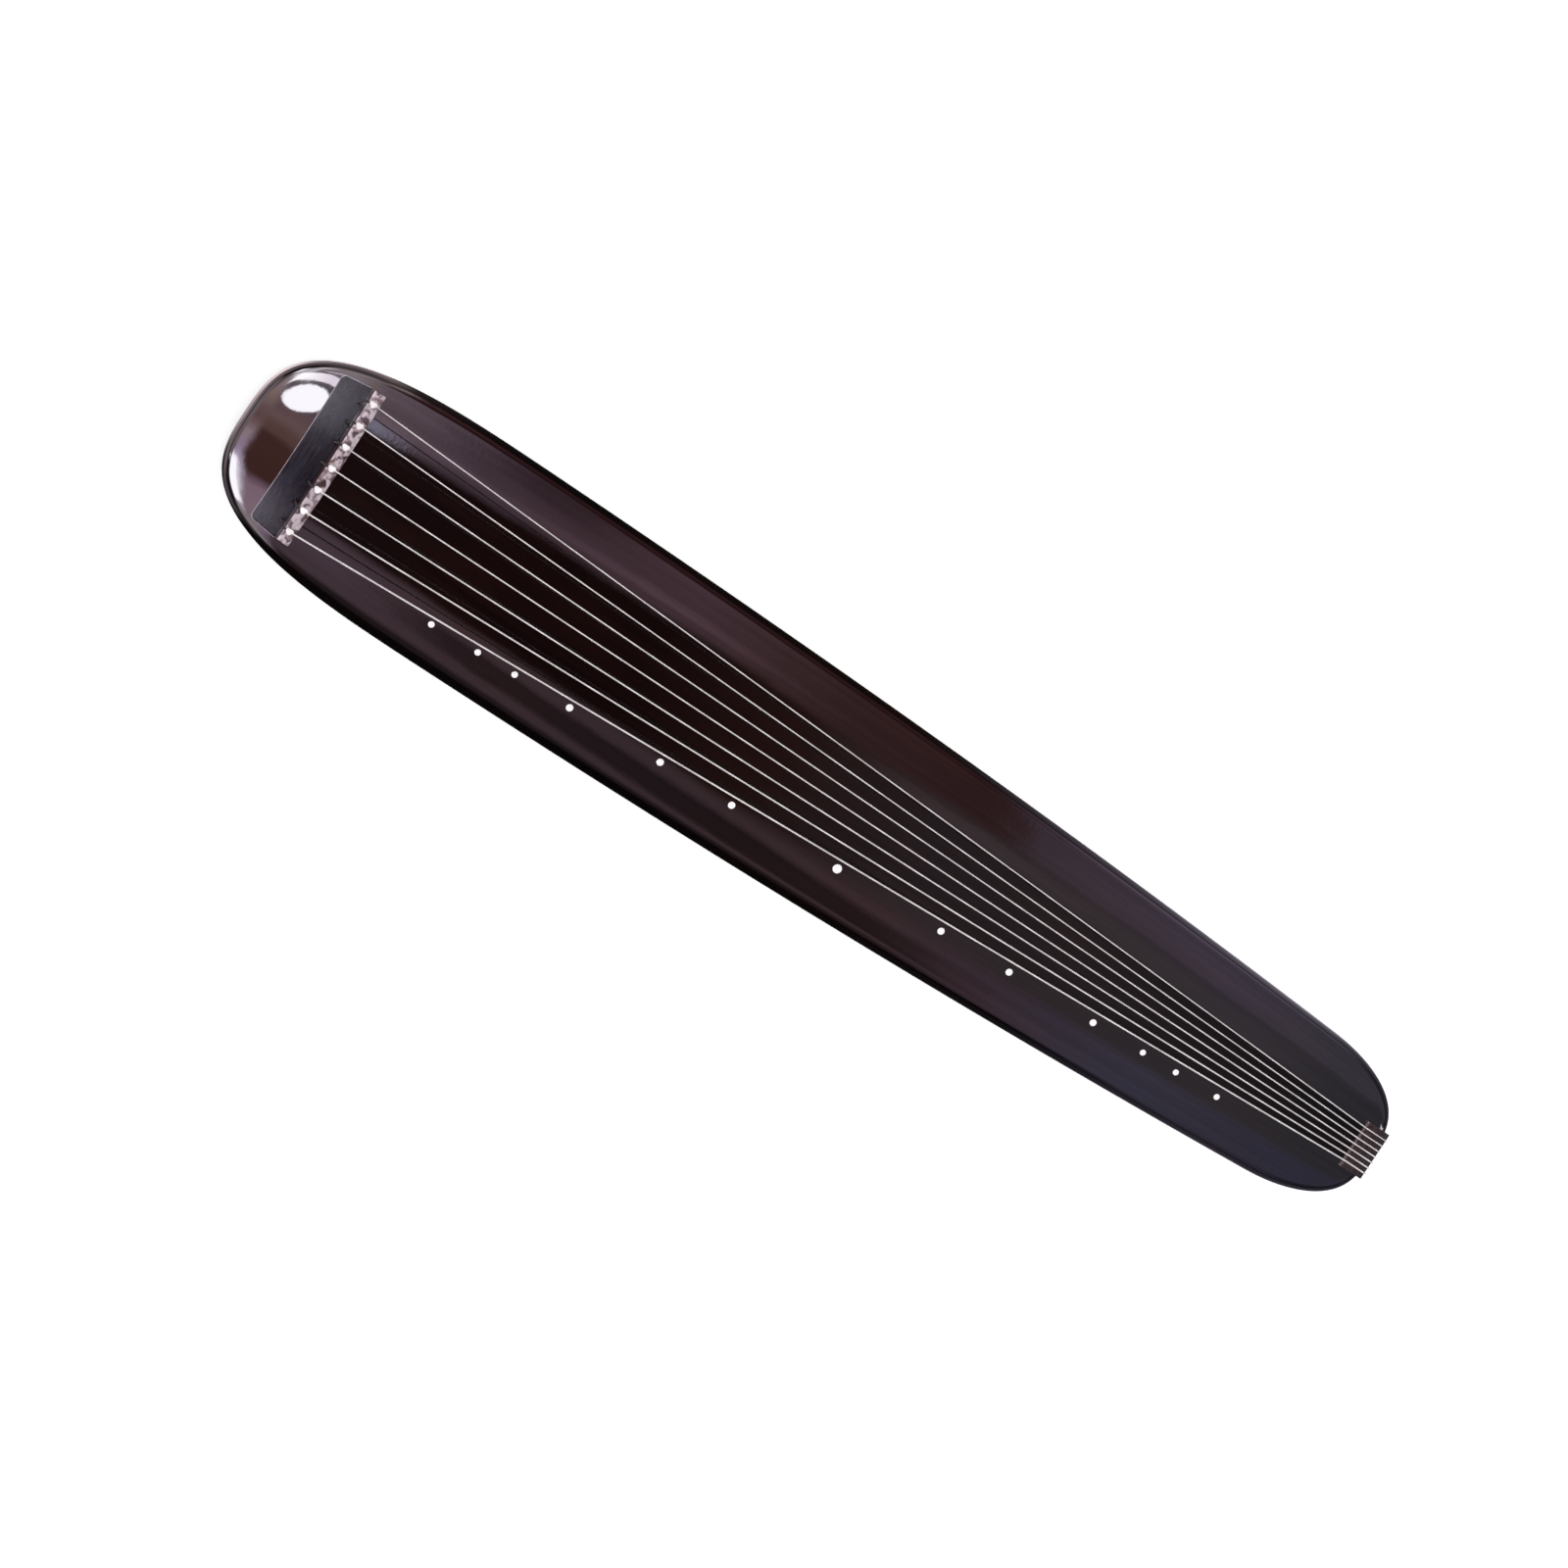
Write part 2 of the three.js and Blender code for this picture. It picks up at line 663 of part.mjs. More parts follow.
const [holeLow, holeHigh] = [footHeight - overrun, jointZ + overrun];
const soundHoleCuts = soundHoles.map(({ place, length, width }) => prism(
  roundedPlan(place, 0, length / 2, width / 2, width / 2), holeLow, holeHigh, holeCornerSteps,
));
const pegPool = prism(
  roundedPlan(pegPlace, 0, pegPoolHalfWidth, pegPoolHalfLength, pegPoolCorner),
  holeLow, holeHigh, cornerSteps,
);
add('bottom_board', cut(bottomBoardShell(), [
  ...soundHoleCuts, pegPool, lowerNutRecess, ...footSockets,
]), lacquer());

add('bridge', bridge, rosewood());
add('bridge_apron', apron, apronWood());
add('tail_nut', tailNut, rosewood());
add('lower_nut', lowerNut, rosewood());
inlays.forEach((disc, index) => add(`inlay_dot_${index + 1}`, disc, shell()));

// Sound posts between the bottom board and the soundboard's ceiling
const ceilingOver = (place, half) => Math.min(
  surfaceZ(place - half, half), surfaceZ(place + half, half),
) - plateThickness - seatGap;
add('heaven_post', post(
  heavenPostPlace, 0, heavenPostRadius, jointZ, ceilingOver(heavenPostPlace, heavenPostRadius), guardSides,
), rawWood());
const earthPostTop = ceilingOver(earthPostPlace, earthPostHalf);
const earthPost = new THREE.BoxGeometry(2 * earthPostHalf, 2 * earthPostHalf, earthPostTop - jointZ);
earthPost.translate(headTipX + earthPostPlace, 0, (earthPostTop + jointZ) / 2);
add('earth_post', earthPost, rawWood());

// Peg plate, glued to the ceiling of the peg pool
const platePlan = roundedPlan(
  pegPlace, 0, pegPoolHalfWidth - seatGap, pegPoolHalfLength - seatGap, pegPoolCorner - seatGap,
);
add('peg_plate', cut(prism(platePlan, plateUnderside, jointZ, cornerSteps), cordHoles), rosewood());

// Peg guards at the ends of the peg pool
for (const [name, side] of [['inlay', -guardCentreSide], ['player', guardCentreSide]]) {
  const guard = new THREE.CylinderGeometry(1, guardTaperShare, footHeight, guardSides);
  guard.rotateX(Math.PI / 2).scale(guardHalfLength, guardHalfWidth, 1);
  guard.translate(headTipX + guardPlace, side, footHeight / 2);
  add(`peg_guard_${name}_side`, guard, rosewood());
}

// Feet: turned, with a tenon up through the bottom board
const footProfile = [
  [0, 0], [footBaseRadius, 0], [footFlareRadius, footFlareHeight], [footWaistRadius, footWaistEnd],
  [footWaistRadius, footHeight - footCollarThickness], [footCollarRadius, footHeight - footCollarThickness],
  [footCollarRadius, footHeight], [footTenonRadius, footHeight], [footTenonRadius, tenonTop], [0, tenonTop],
];
['foot_inlay_side', 'foot_player_side'].forEach((name, index) => {
  add(name, turned(footProfile, roundSides).translate(headTipX + footPlace, footSides[index], 0), rosewood());
});

// Strings: knot on the bridge, over the tail nut, round the tail, along the bottom and round a foot
function stringGeometry(index, windTop) {
  const diameter = stringDiameters[index];
  const radius = diameter / 2;
  const lift = seatGap + radius;
  const side = evenly(stringSpan, stringCount, index);
  const tailSide = evenly(stringSpanAtTail, stringCount, index);
  const bridgeZ = bridgeTopZ - bridgeDrop(0, side);
  const knot = atHeight([knotPlace, side], bridgeZ + seatGap + knotHalf.z);
  const onBridge = atHeight([bridgeEnd - bridgeChamfer, side], bridgeZ + lift);
  const onCrest = atHeight([nutCrest, tailSide], nutTopZ + lift);
  const upperCorner = atHeight([tailEnd + lift, tailSide], nutTopZ + lift);
  const lowerTurn = atHeight([tailEnd + lift, tailSide], lowerNutLowZ - lift);

  const footIndex = index < outerFootStrings ? 0 : 1;
  const sense = footIndex === 0 ? 1 : -1;
  const centre = new THREE.Vector2(headTipX + footPlace, footSides[footIndex]);
  const windRadius = footWaistRadius + windingSeat + radius;
  const away = new THREE.Vector2(lowerTurn.x, lowerTurn.y).sub(centre);
  const startAngle = away.angle() + sense * Math.acos(windRadius / away.length());
  const drop = diameter + windingGap;
  const winding = windingPoints(
    centre, windRadius, startAngle, sense, windingTurnsShare, drop, windTop - radius, windingSteps,
  );
  const count = winding.length;
  const tip = winding[count - 1].clone().sub(winding[count - 2]).setLength(diameter).add(winding[count - 1]);

  const bend = nutRadius + lift;
  const overTail = rounded([onCrest, upperCorner, lowerTurn, winding[0]], bend, bendSteps);
  const points = [knot, onBridge, ...overTail.slice(0, -1), ...winding, tip];
  const gap = leastGap(winding, windingSteps, diameter).toFixed(2);
  console.log(`string_${index + 1}: least gap to itself ${gap} mm`);

  const bead = new THREE.SphereGeometry(1, knotSides, knotRings);
  bead.scale(knotHalf.x, knotHalf.y, knotHalf.z).translate(knot.x, knot.y, knot.z);
  const solid = toSolid(tubeAlong(points, radius, stringSides)).add(toSolid(bead));
  const windEnd = windTop - diameter - drop * windingTurnsShare - windingGap;
  return { geometry: toGeometry(solid), windEnd };
}

const windStart = footHeight - footCollarThickness - windingGap;
const windTops = [windStart, windStart];
for (let index = 0; index < stringCount; index += 1) {
  const footIndex = index < outerFootStrings ? 0 : 1;
  const { geometry, windEnd } = stringGeometry(index, windTops[footIndex]);
  windTops[footIndex] = windEnd;
  add(`string_${index + 1}`, geometry, stringSheath());
}

// Peg cords: from each knot over the bridge's head side, down its hole to the underside of the peg plate
for (let index = 0; index < stringCount; index += 1) {
  const side = evenly(stringSpan, stringCount, index);
  const lift = seatGap + cordRadius;
  const bridgeZ = bridgeTopZ - bridgeDrop(0, side) + lift;
  const holeMouth = surfaceZ(pegPlace, pegSide(index)) + apronProud + cordBend;
  const route = [
    atHeight([knotPlace - knotHalf.x - seatGap, side], bridgeZ),
    atHeight([bridgeStart - lift - cordOffBridge, side], bridgeZ),
    atHeight([pegPlace, pegSide(index)], holeMouth),
    atHeight([pegPlace, pegSide(index)], plateUnderside),
  ];
  add(`peg_cord_${index + 1}`, tubeAlong(rounded(route, cordBend, bendSteps), cordRadius, cordSides), silk());
}

// Tuning pegs: turned and bored, with a side hole in the neck for the cord
const gripStart = pegHeadLength + pegNeckLength;
const pegProfile = [
  [0, -pegLength], [pegTipRadius, -pegLength], [pegGripRadius, pegTipLength - pegLength],
  [pegBodyRadius, -gripStart - pegChamfer], [pegNeckRadius, -gripStart], [pegNeckRadius, -pegHeadLength],
  [pegHeadRadius, pegChamfer - pegHeadLength], [pegHeadRadius, -pegChamfer], [pegHeadRadius - pegChamfer, 0],
  [pegBoreRadius, 0], [pegBoreRadius, -pegBoreDepth], [0, -pegBoreDepth],
];
const sideHoleRadius = cordHoleRadius - seatGap;
const sideHoleLength = pegNeckRadius + overrun;
const sideHole = new THREE.CylinderGeometry(
  sideHoleRadius, sideHoleRadius, sideHoleLength, sideHoleSides,
);
sideHole.rotateZ(Math.PI / 2).translate(sideHoleLength / 2, 0, -pegSideHoleDepth);
const peg = cut(turned(pegProfile, pegSides), [sideHole]);

// Cord of a peg: down its bore, out of the side hole and round the neck
function pegWinding() {
  const radius = pegNeckRadius + windingSeat + cordRadius;
  const drop = 2 * cordRadius + pegWindingGap;
  const steps = pegWindingSteps;
  const turns = windingPoints(
    new THREE.Vector2(0, 0), radius, 2 * Math.PI / steps, 1, pegTurnsShare, drop,
    -pegSideHoleDepth - drop / steps, steps,
  );
  const count = turns.length;
  const tip = turns[count - 1].clone().sub(turns[count - 2]).setLength(2 * cordRadius).add(turns[count - 1]);
  const inside = rounded([
    new THREE.Vector3(0, 0, 0),
    new THREE.Vector3(0, 0, -pegSideHoleDepth),
    new THREE.Vector3(radius, 0, -pegSideHoleDepth),
    turns[0],
  ], tightCordBend, bendSteps);
  console.log(`peg winding: least gap to itself ${leastGap(turns, steps, 2 * cordRadius).toFixed(2)} mm`);
  return tubeAlong([...inside.slice(0, -1), ...turns.slice(1), tip], cordRadius, cordSides);
}

const winding = pegWinding();
for (let index = 0; index < stringCount; index += 1) {
  const shift = new THREE.Vector3(headTipX + pegPlace, pegSide(index), pegTop);
  add(`tuning_peg_${index + 1}`, peg.clone(), rosewood()).position.copy(shift);
  add(`peg_winding_${index + 1}`, winding.clone(), silk()).position.copy(shift);
}

export default guqin;
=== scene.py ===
import math

import bmesh
import bpy
from mathutils import Matrix, Vector


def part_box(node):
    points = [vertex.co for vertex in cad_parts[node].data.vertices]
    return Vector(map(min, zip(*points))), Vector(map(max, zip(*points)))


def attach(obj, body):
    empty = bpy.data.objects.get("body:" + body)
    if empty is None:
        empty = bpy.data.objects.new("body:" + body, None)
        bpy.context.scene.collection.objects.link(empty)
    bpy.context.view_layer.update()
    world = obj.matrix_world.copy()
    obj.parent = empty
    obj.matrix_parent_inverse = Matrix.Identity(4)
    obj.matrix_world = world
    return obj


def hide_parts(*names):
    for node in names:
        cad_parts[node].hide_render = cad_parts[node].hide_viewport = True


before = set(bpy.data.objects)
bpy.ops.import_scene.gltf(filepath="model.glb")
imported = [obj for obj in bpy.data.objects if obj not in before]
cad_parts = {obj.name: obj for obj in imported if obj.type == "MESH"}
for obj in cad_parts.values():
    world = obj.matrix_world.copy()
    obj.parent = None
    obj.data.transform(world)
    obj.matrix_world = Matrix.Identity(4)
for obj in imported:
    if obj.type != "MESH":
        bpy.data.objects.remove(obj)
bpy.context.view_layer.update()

# The stage: a plain pale floor under the guqin, and the camera high above its head end, at the photograph's angle.
# What the lacquer mirrors is a room drawn on the sky by direction: dim over the strings, dusky lavender to both
# sides, brown over the head, dark near the horizon, with a round lamp, a strip of light and tall pale windows.


def add_node(tree, kind, inputs=None, **settings):
    made = tree.nodes.new(kind)
    for name, value in settings.items():
        setattr(made, name, value)
    for socket, value in (inputs or {}).items():
        if isinstance(value, bpy.types.NodeSocket):
            tree.links.new(value, made.inputs[socket])
        else:
            made.inputs[socket].default_value = value
    return made


def put(tree, kind, inputs=None, **settings):
    """A new node's first output."""
    return add_node(tree, kind, inputs, **settings).outputs[0]


def calc(tree, operation, *values):
    return put(tree, "ShaderNodeMath", dict(enumerate(values)), operation=operation)


def vector_math(tree, operation, inputs):
    return put(tree, "ShaderNodeVectorMath", inputs, operation=operation)


def ramp(tree, value, stops):
    made = add_node(tree, "ShaderNodeValToRGB", {0: value})
    while len(made.color_ramp.elements) < len(stops):
        made.color_ramp.elements.new(0.5)
    for element, (position, color) in zip(made.color_ramp.elements, stops):
        element.position, element.color = position, (*color, 1)
    return made.outputs[0]


def mix_colors(tree, share, first, second):
    return add_node(tree, "ShaderNodeMix", {0: share, 6: first, 7: second}, data_type="RGBA").outputs[2]


def noise(tree, vector, scale, detail, output=0, **more):
    inputs = {"Vector": vector, "Scale": scale, "Detail": detail, **more}
    return add_node(tree, "ShaderNodeTexNoise", inputs).outputs[output]


def stretched(tree, vector, scale):
    return put(tree, "ShaderNodeMapping", {"Vector": vector, "Scale": scale})


def new_object(name, data):
    made = bpy.data.objects.new(name, data)
    bpy.context.collection.objects.link(made)
    return made


def new_material(name, **values):
    """Material and its tree of nodes, with plain values for inputs of its shader."""
    made = bpy.data.materials.new(name)
    made.use_nodes = True
    for label, value in values.items():
        made.node_tree.nodes["Principled BSDF"].inputs[label.replace("_", " ")].default_value = value
    return made, made.node_tree


FLOOR_REACH, FLOOR_GLOW = 30, 0.42
CEILING_HEIGHT, CEILING_SIZE, CEILING_WATTS = 4, 4, 110
camera_data = bpy.data.cameras.new("camera")
camera_data.sensor_width, camera_data.lens, camera_data.clip_end = 36, 85.5, 100
camera = new_object("camera", camera_data)
right, down = Vector((0.80839, 0.5519, 0.20475)), Vector((0.53251, -0.83387, 0.14524))
turn = Matrix((right, -down, -right.cross(down))).transposed().to_4x4()
camera.matrix_world = Matrix.Translation((-0.86079, 0.01473, 3.19453)) @ turn
bpy.context.scene.camera = camera
bpy.context.scene.view_settings.view_transform = "Standard"

floor_mesh = bpy.data.meshes.new("floor")
corners = [(x * FLOOR_REACH, y * FLOOR_REACH, 0) for x, y in ((-1, -1), (1, -1), (1, 1), (-1, 1))]
floor_mesh.from_pydata(corners, [], [(0, 1, 2, 3)])
floor = new_object("floor", floor_mesh)
floor.visible_glossy = False
paper, _ = new_material("floor_paper", Base_Color=(0.93, 0.93, 0.93, 1), Roughness=0.9, Specular_IOR_Level=0,
                        Emission_Color=(1, 1, 1, 1), Emission_Strength=FLOOR_GLOW)
floor_mesh.materials.append(paper)

world = bpy.data.worlds.new("room")
world.use_nodes = True
bpy.context.scene.world = world
room = world.node_tree
room.nodes.clear()
direction = add_node(room, "ShaderNodeTexCoord").outputs["Generated"]
east, north, height = add_node(room, "ShaderNodeSeparateXYZ", {0: direction}).outputs
ROOM_LIGHT, SKY_LIGHT = 4, 0.62


def rise(value, low, high):
    """Soft step from 0 at low to 1 at high; low may be the larger one."""
    return put(room, "ShaderNodeMapRange", {0: value, 1: low, 2: high}, interpolation_type="SMOOTHSTEP")


def by(*factors):
    product = factors[0]
    for factor in factors[1:]:
        product = calc(room, "MULTIPLY", product, factor)
    return product


def plus(first, second, scale=1):
    return calc(room, "MULTIPLY_ADD", second, scale, first)


def within(value, low, high, soft=0.02):
    """1 between two values and 0 outside them, with soft edges."""
    return by(rise(value, low - soft, low + soft), rise(value, high + soft, high - soft))


def sweep(value, stops):
    """Colours laid over one direction of the room, which runs from -1 to 1."""
    return ramp(room, plus(0.5, value, 0.5), [((position + 1) / 2, color) for position, color in stops])


def paint(share, over, color):
    return mix_colors(room, share, over, color if isinstance(color, bpy.types.NodeSocket) else (*color, 1))


def lay(color, *shares):
    """Paints a colour over the room where all the shares are 1."""
    global tone
    tone = paint(by(*shares), tone, color)


def dim(*amounts):
    """Makes the room darker by the amounts' product, or lighter where it is below 0."""
    global tone
    tone = vector_math(room, "SCALE", {0: tone, "Scale": plus(1, by(*amounts), -1)})


clouds = noise(room, direction, 6, 4, output="Color")
cloud_east, cloud_north, cloud_tone = add_node(room, "ShaderNodeSeparateXYZ", {0: clouds}).outputs
loose_east = plus(plus(east, cloud_east, 0.05), -0.025)
loose_north = plus(plus(north, cloud_north, 0.05), -0.025)
sideways = calc(room, "ABSOLUTE", north)
aside = plus(sideways, plus(-0.02, cloud_north, 0.04))

above = sweep(east, [
    (0.1, (0.03, 0.013, 0.014)), (0.15, (0.019, 0.006, 0.007)), (0.205, (0.022, 0.007, 0.007)),
    (0.255, (0.055, 0.022, 0.02)), (0.305, (0.127, 0.088, 0.098)), (0.355, (0.12, 0.093, 0.105)),
    (0.43, (0.105, 0.095, 0.115)), (0.46, (0.085, 0.083, 0.105)),
])
inlay_side = sweep(loose_east, [
    (-0.02, (0.68, 0.53, 0.7)), (0.03, (0.25, 0.17, 0.21)), (0.105, (0.245, 0.16, 0.21)), (0.155, (0.19, 0.115, 0.135)),
    (0.205, (0.165, 0.105, 0.125)), (0.255, (0.15, 0.09, 0.105)), (0.305, (0.15, 0.09, 0.1)),
    (0.355, (0.16, 0.105, 0.143)), (0.405, (0.142, 0.135, 0.21)), (0.455, (0.108, 0.103, 0.165)),
])
player_side = sweep(east, [
    (-0.02, (0.75, 0.56, 0.64)), (0.02, (0.6, 0.46, 0.47)), (0.085, (0.46, 0.33, 0.4)), (0.125, (0.24, 0.155, 0.205)),
    (0.155, (0.2, 0.115, 0.15)), (0.205, (0.225, 0.13, 0.165)), (0.235, (0.18, 0.095, 0.11)),
    (0.265, (0.13, 0.06, 0.065)), (0.326, (0.1, 0.042, 0.043)), (0.334, (0.17, 0.12, 0.155)),
    (0.405, (0.19, 0.15, 0.22)), (0.455, (0.14, 0.13, 0.175)),
])
tone = paint(rise(aside, 0.335, 0.405), above, paint(rise(north, -0.05, 0.05), inlay_side, player_side))
shelf = by(within(loose_east, 0.135, 0.335, 0.03), within(loose_north, -0.575, -0.465))
corner = by(within(loose_east, 0.13, 0.175), within(loose_north, 0.55, 0.7, 0.03))
ledge = by(rise(east, 0.27, 0.2), within(loose_north, 0.42, 0.475, 0.015))
dim(plus(plus(by(shelf, 0.68), corner, 0.45), ledge, -0.4))
streaks = noise(room, stretched(room, direction, (3, 26, 3)), 1.5, 4)
dim(plus(plus(0.5, streaks, -0.6), cloud_tone, -0.4))

# A pale edge of a window near the bridge, and darker corners low on both sides.
lay((0.74, 0.68, 0.92), rise(east, 0.11, 0.095), rise(east, 0.04, 0.06), within(loose_north, 0.355, 0.425))
past_strings = plus(aside, east, 0.7)
dim(rise(past_strings, 0.505, 0.475), rise(east, 0.24, 0.3), plus(0.42, rise(east, 0.34, 0.45), 0.25))
by_strings = by(rise(past_strings, 0.475, 0.505), rise(aside, 0.36, 0.33), rise(north, 0, 0.05))
dim(by_strings, within(east, 0.28, 0.43, 0.03), -0.4)
first_half = by(rise(east, 0.4, 0.28), rise(east, 0.02, 0.08))
lay((0.045, 0.03, 0.034), first_half, rise(north, -0.6, -0.68))
lay((0.065, 0.024, 0.028), first_half, rise(north, 0.68, 0.76))
lay((0.01, 0.008, 0.012), rise(north, -0.83, -0.9), rise(east, 0.415, 0.365))
dim(rise(east, 0.33, 0.38), rise(north, 0.68, 0.8), -0.45)

# Over the head and beyond it: brown in the middle, pale to both sides.
over_head = sweep(loose_north, [
    (-0.5, (0.86, 0.59, 0.74)), (-0.38, (0.83, 0.52, 0.71)), (-0.345, (0.36, 0.215, 0.27)),
    (-0.32, (0.18, 0.075, 0.065)), (-0.07, (0.19, 0.082, 0.072)), (-0.03, (0.34, 0.18, 0.17)),
    (0.03, (0.38, 0.21, 0.19)), (0.1, (0.52, 0.32, 0.32)), (0.16, (0.45, 0.27, 0.3)), (0.25, (0.35, 0.24, 0.31)),
    (0.4, (0.35, 0.33, 0.38)), (0.52, (0.45, 0.4, 0.45)), (0.6, (0.9, 0.75, 0.85)),
])
beyond_head = sweep(loose_north, [
    (-0.52, (1.6, 1.35, 1.65)), (-0.42, (2.1, 1.85, 2.2)), (-0.3, (1.7, 1.4, 1.9)), (-0.22, (1.1, 0.8, 1.15)),
    (-0.11, (1.05, 0.75, 0.9)), (-0.04, (0.6, 0.38, 0.4)), (0.02, (0.46, 0.25, 0.26)), (0.11, (0.53, 0.33, 0.34)),
    (0.22, (0.8, 0.55, 0.5)), (0.3, (0.9, 0.68, 0.75)), (0.42, (1.00, 0.8, 0.95)), (0.56, (1.2, 1.00, 1.2)),
])
beyond_head = paint(by(rise(east, -0.34, -0.55), rise(aside, 0.5, 0.3)), beyond_head, (0.62, 0.45, 0.48))
slant = plus(plus(loose_east, 0.262), calc(room, "MAXIMUM", plus(-0.24, north, -1), 0), -0.42)
over_head = paint(rise(slant, 0.02, -0.02), over_head, beyond_head)
lay(over_head, rise(east, 0.03, -0.02), rise(aside, 0.62, 0.57))
lay((0.9, 0.75, 0.8), rise(east, -0.02, -0.06), rise(aside, 0.57, 0.62))

# Past the head's corners, then dusk towards the horizon, lighter where the rounded edges catch the low room.
past_corners = paint(rise(height, 0.5, 0.62), (0.2, 0.145, 0.165, 1), (0.38, 0.29, 0.32))
lay(past_corners, rise(east, -0.3, -0.42), rise(sideways, 0.22, 0.32))
past_head = rise(plus(plus(east, 0.5), calc(room, "MAXIMUM", plus(sideways, -0.2), 0)), 0.05, -0.05)
lay((0.56, 0.43, 0.46), past_head)
before_head = plus(1, by(past_head, rise(height, 0.12, 0.25)), -1)
dim(rise(height, 0.52, 0.38), before_head, plus(0.84, rise(east, -0.1, 0.2), -0.24))
dim(rise(height, 0.24, 0.07), 0.78)
past_player = by(rise(north, 0.78, 0.86), rise(height, 0.5, 0.35))
dim(past_player, plus(-0.9, rise(east, 0, 0.05), -1.4))
dim(past_player, within(east, 0.02, 0.12, 0.04), -1)
past_inlays = by(rise(north, -0.78, -0.86), rise(height, 0.5, 0.45))
dim(past_inlays, within(east, -0.14, 0.02, 0.04), 0.85)
dim(past_inlays, rise(east, 0.4, 0.43), -1.2)
lay((2.1, 1.95, 2.1), within(east, -0.34, -0.2, 0.03), within(north, 0.4, 0.76, 0.04))

# Two narrow windows far off, the round lamp, the strip of light round it, and two tall windows by the head.
for low, high, eastward in ((-0.455, -0.405, -1), (0.22, 0.28, 1)):
    beyond = rise(by(east, eastward), 0.5, 0.56)
    lay((2.2, 2.1, 2.3), within(north, low, high, 0.012), beyond, rise(height, 0.3, 0.4))
lamp_east, lamp_north = plus(east, 0.171), plus(north, -0.299)
lamp_long = plus(by(lamp_east, 8.786), lamp_north, 3.237)
lamp_short = plus(by(lamp_east, 9.827), lamp_north, -9.538)
lay((4.6, 4.45, 4.8), rise(plus(by(lamp_long, lamp_long), by(lamp_short, lamp_short)), 1.08, 0.92))
past_bend = plus(east, 0.08)
band = plus(plus(north, -0.495), by(past_bend, past_bend), 2.6)
before_bridge = rise(east, 0, -0.03)
band_color = sweep(east, [(-0.22, (4.9, 4.7, 4.9)), (-0.12, (3.4, 3.0, 3.5))])
lower_edge = plus(plus(band, 0.03), calc(room, "MAXIMUM", plus(-0.12, east, -1), 0), 0.3)
lay(band_color, rise(lower_edge, -0.006, 0.006), rise(band, 0.034, 0.022), before_bridge, rise(east, -0.29, -0.25))
lay((1.9, 1.6, 1.85), within(band, 0.052, 0.072, 0.005), before_bridge, rise(east, -0.19, -0.15))
lay((4.2, 4.0, 4.3), within(east, -0.55, -0.4, 0.03), within(north, 0.54, 0.7, 0.03))
window_edge = plus(plus(east, 0.4015), north, 0.465)
window_foot = plus(plus(east, 0.15), calc(room, "MAXIMUM", plus(-0.53, north, -1), 0), 0.9)
window_edge = calc(room, "MAXIMUM", window_edge, window_foot)
lay((4.6, 4.45, 4.8), rise(window_edge, 0.02, -0.03), within(north, -0.89, -0.3, 0.03), rise(east, -0.54, -0.48),
    rise(height, 0.6, 0.7))

# The ground below the horizon.
floor_by_inlays = sweep(east, [
    (0.29, (0.002, 0.002, 0.002)), (0.36, (0.009, 0.008, 0.011)), (0.43, (0.04, 0.037, 0.055)),
    (0.66, (0.045, 0.043, 0.058)),
])
floor_by_player = sweep(east, [
    (-0.02, (0.3, 0.24, 0.25)), (0.04, (0.03, 0.023, 0.024)), (0.1, (0.011, 0.008, 0.009)),
    (0.17, (0.004, 0.004, 0.004)), (0.3, (0.009, 0.006, 0.005)), (0.36, (0.09, 0.08, 0.1)), (0.43, (0.19, 0.17, 0.21)),
    (0.48, (0.1, 0.1, 0.12)), (0.66, (0.05, 0.045, 0.06)),
])
floor_tone = paint(rise(north, -0.1, 0.1), floor_by_inlays, floor_by_player)
floor_tone = paint(by(rise(east, 0, -0.16), rise(north, 0.4, 0.6)), floor_tone, (0.24, 0.19, 0.21))
floor_tone = paint(by(rise(east, -0.2, -0.4), rise(north, 0.6, 0.4)), floor_tone, (0.15, 0.12, 0.135))
floor_tone = paint(rise(east, -0.68, -0.8), floor_tone, (0.4, 0.33, 0.35))
lay(floor_tone, rise(height, 0.03, -0.06))


def glow(color, strength):
    return put(room, "ShaderNodeBackground", {0: color, 1: strength})


def shown(share, first, second):
    return put(room, "ShaderNodeMixShader", {0: share, 1: first, 2: second})


path = add_node(room, "ShaderNodeLightPath").outputs
felt = shown(path["Is Glossy Ray"], glow((1, 0.98, 1, 1), SKY_LIGHT), glow(tone, ROOM_LIGHT))
add_node(room, "ShaderNodeOutputWorld", {0: shown(path["Is Camera Ray"], felt, glow((1, 1, 1, 1), 1))})

ceiling = bpy.data.lights.new("ceiling_fill", "AREA")
ceiling.shape, ceiling.size, ceiling.energy = "SQUARE", CEILING_SIZE, CEILING_WATTS
ceiling_light = new_object("ceiling_fill", ceiling)
ceiling_light.location = (0, 0, CEILING_HEIGHT)
ceiling_light.visible_glossy = False

# Soundboard: one long plank of light wood, carved to an arch above and hollowed below, under many coats of
# black-brown lacquer polished to a mirror. Its head is domed, its edge rounded over, its inside left bare.
MM = 0.001
HEAD_TIP = -609.64
BOARD_LENGTH = 1216.5
WIDEST_HALF = 100
HEAD_ROUND, HEAD_ALONG, HEAD_ACROSS = 250, 3.4, 3.0
TAIL_ROUND, TAIL_ALONG, TAIL_ACROSS = 92, 2.2, 3.4
TAPER_LOSS, TAPER_BEND = 0.31, 2.05
SPINE_START, SPINE_END = 105, BOARD_LENGTH - 60
JOINT_Z = 42
CROWN_AT_BRIDGE, CROWN_AT_TAIL, BOW = 36, 28, 3.5
HEAD_DROP, ARCH_AT_HEAD, ARCH_AT_TAIL = 9, 21, 13
RIM_RADIUS, HEAD_RIM_RADIUS, HEAD_RIM_LENGTH = 10, 5.5, 130
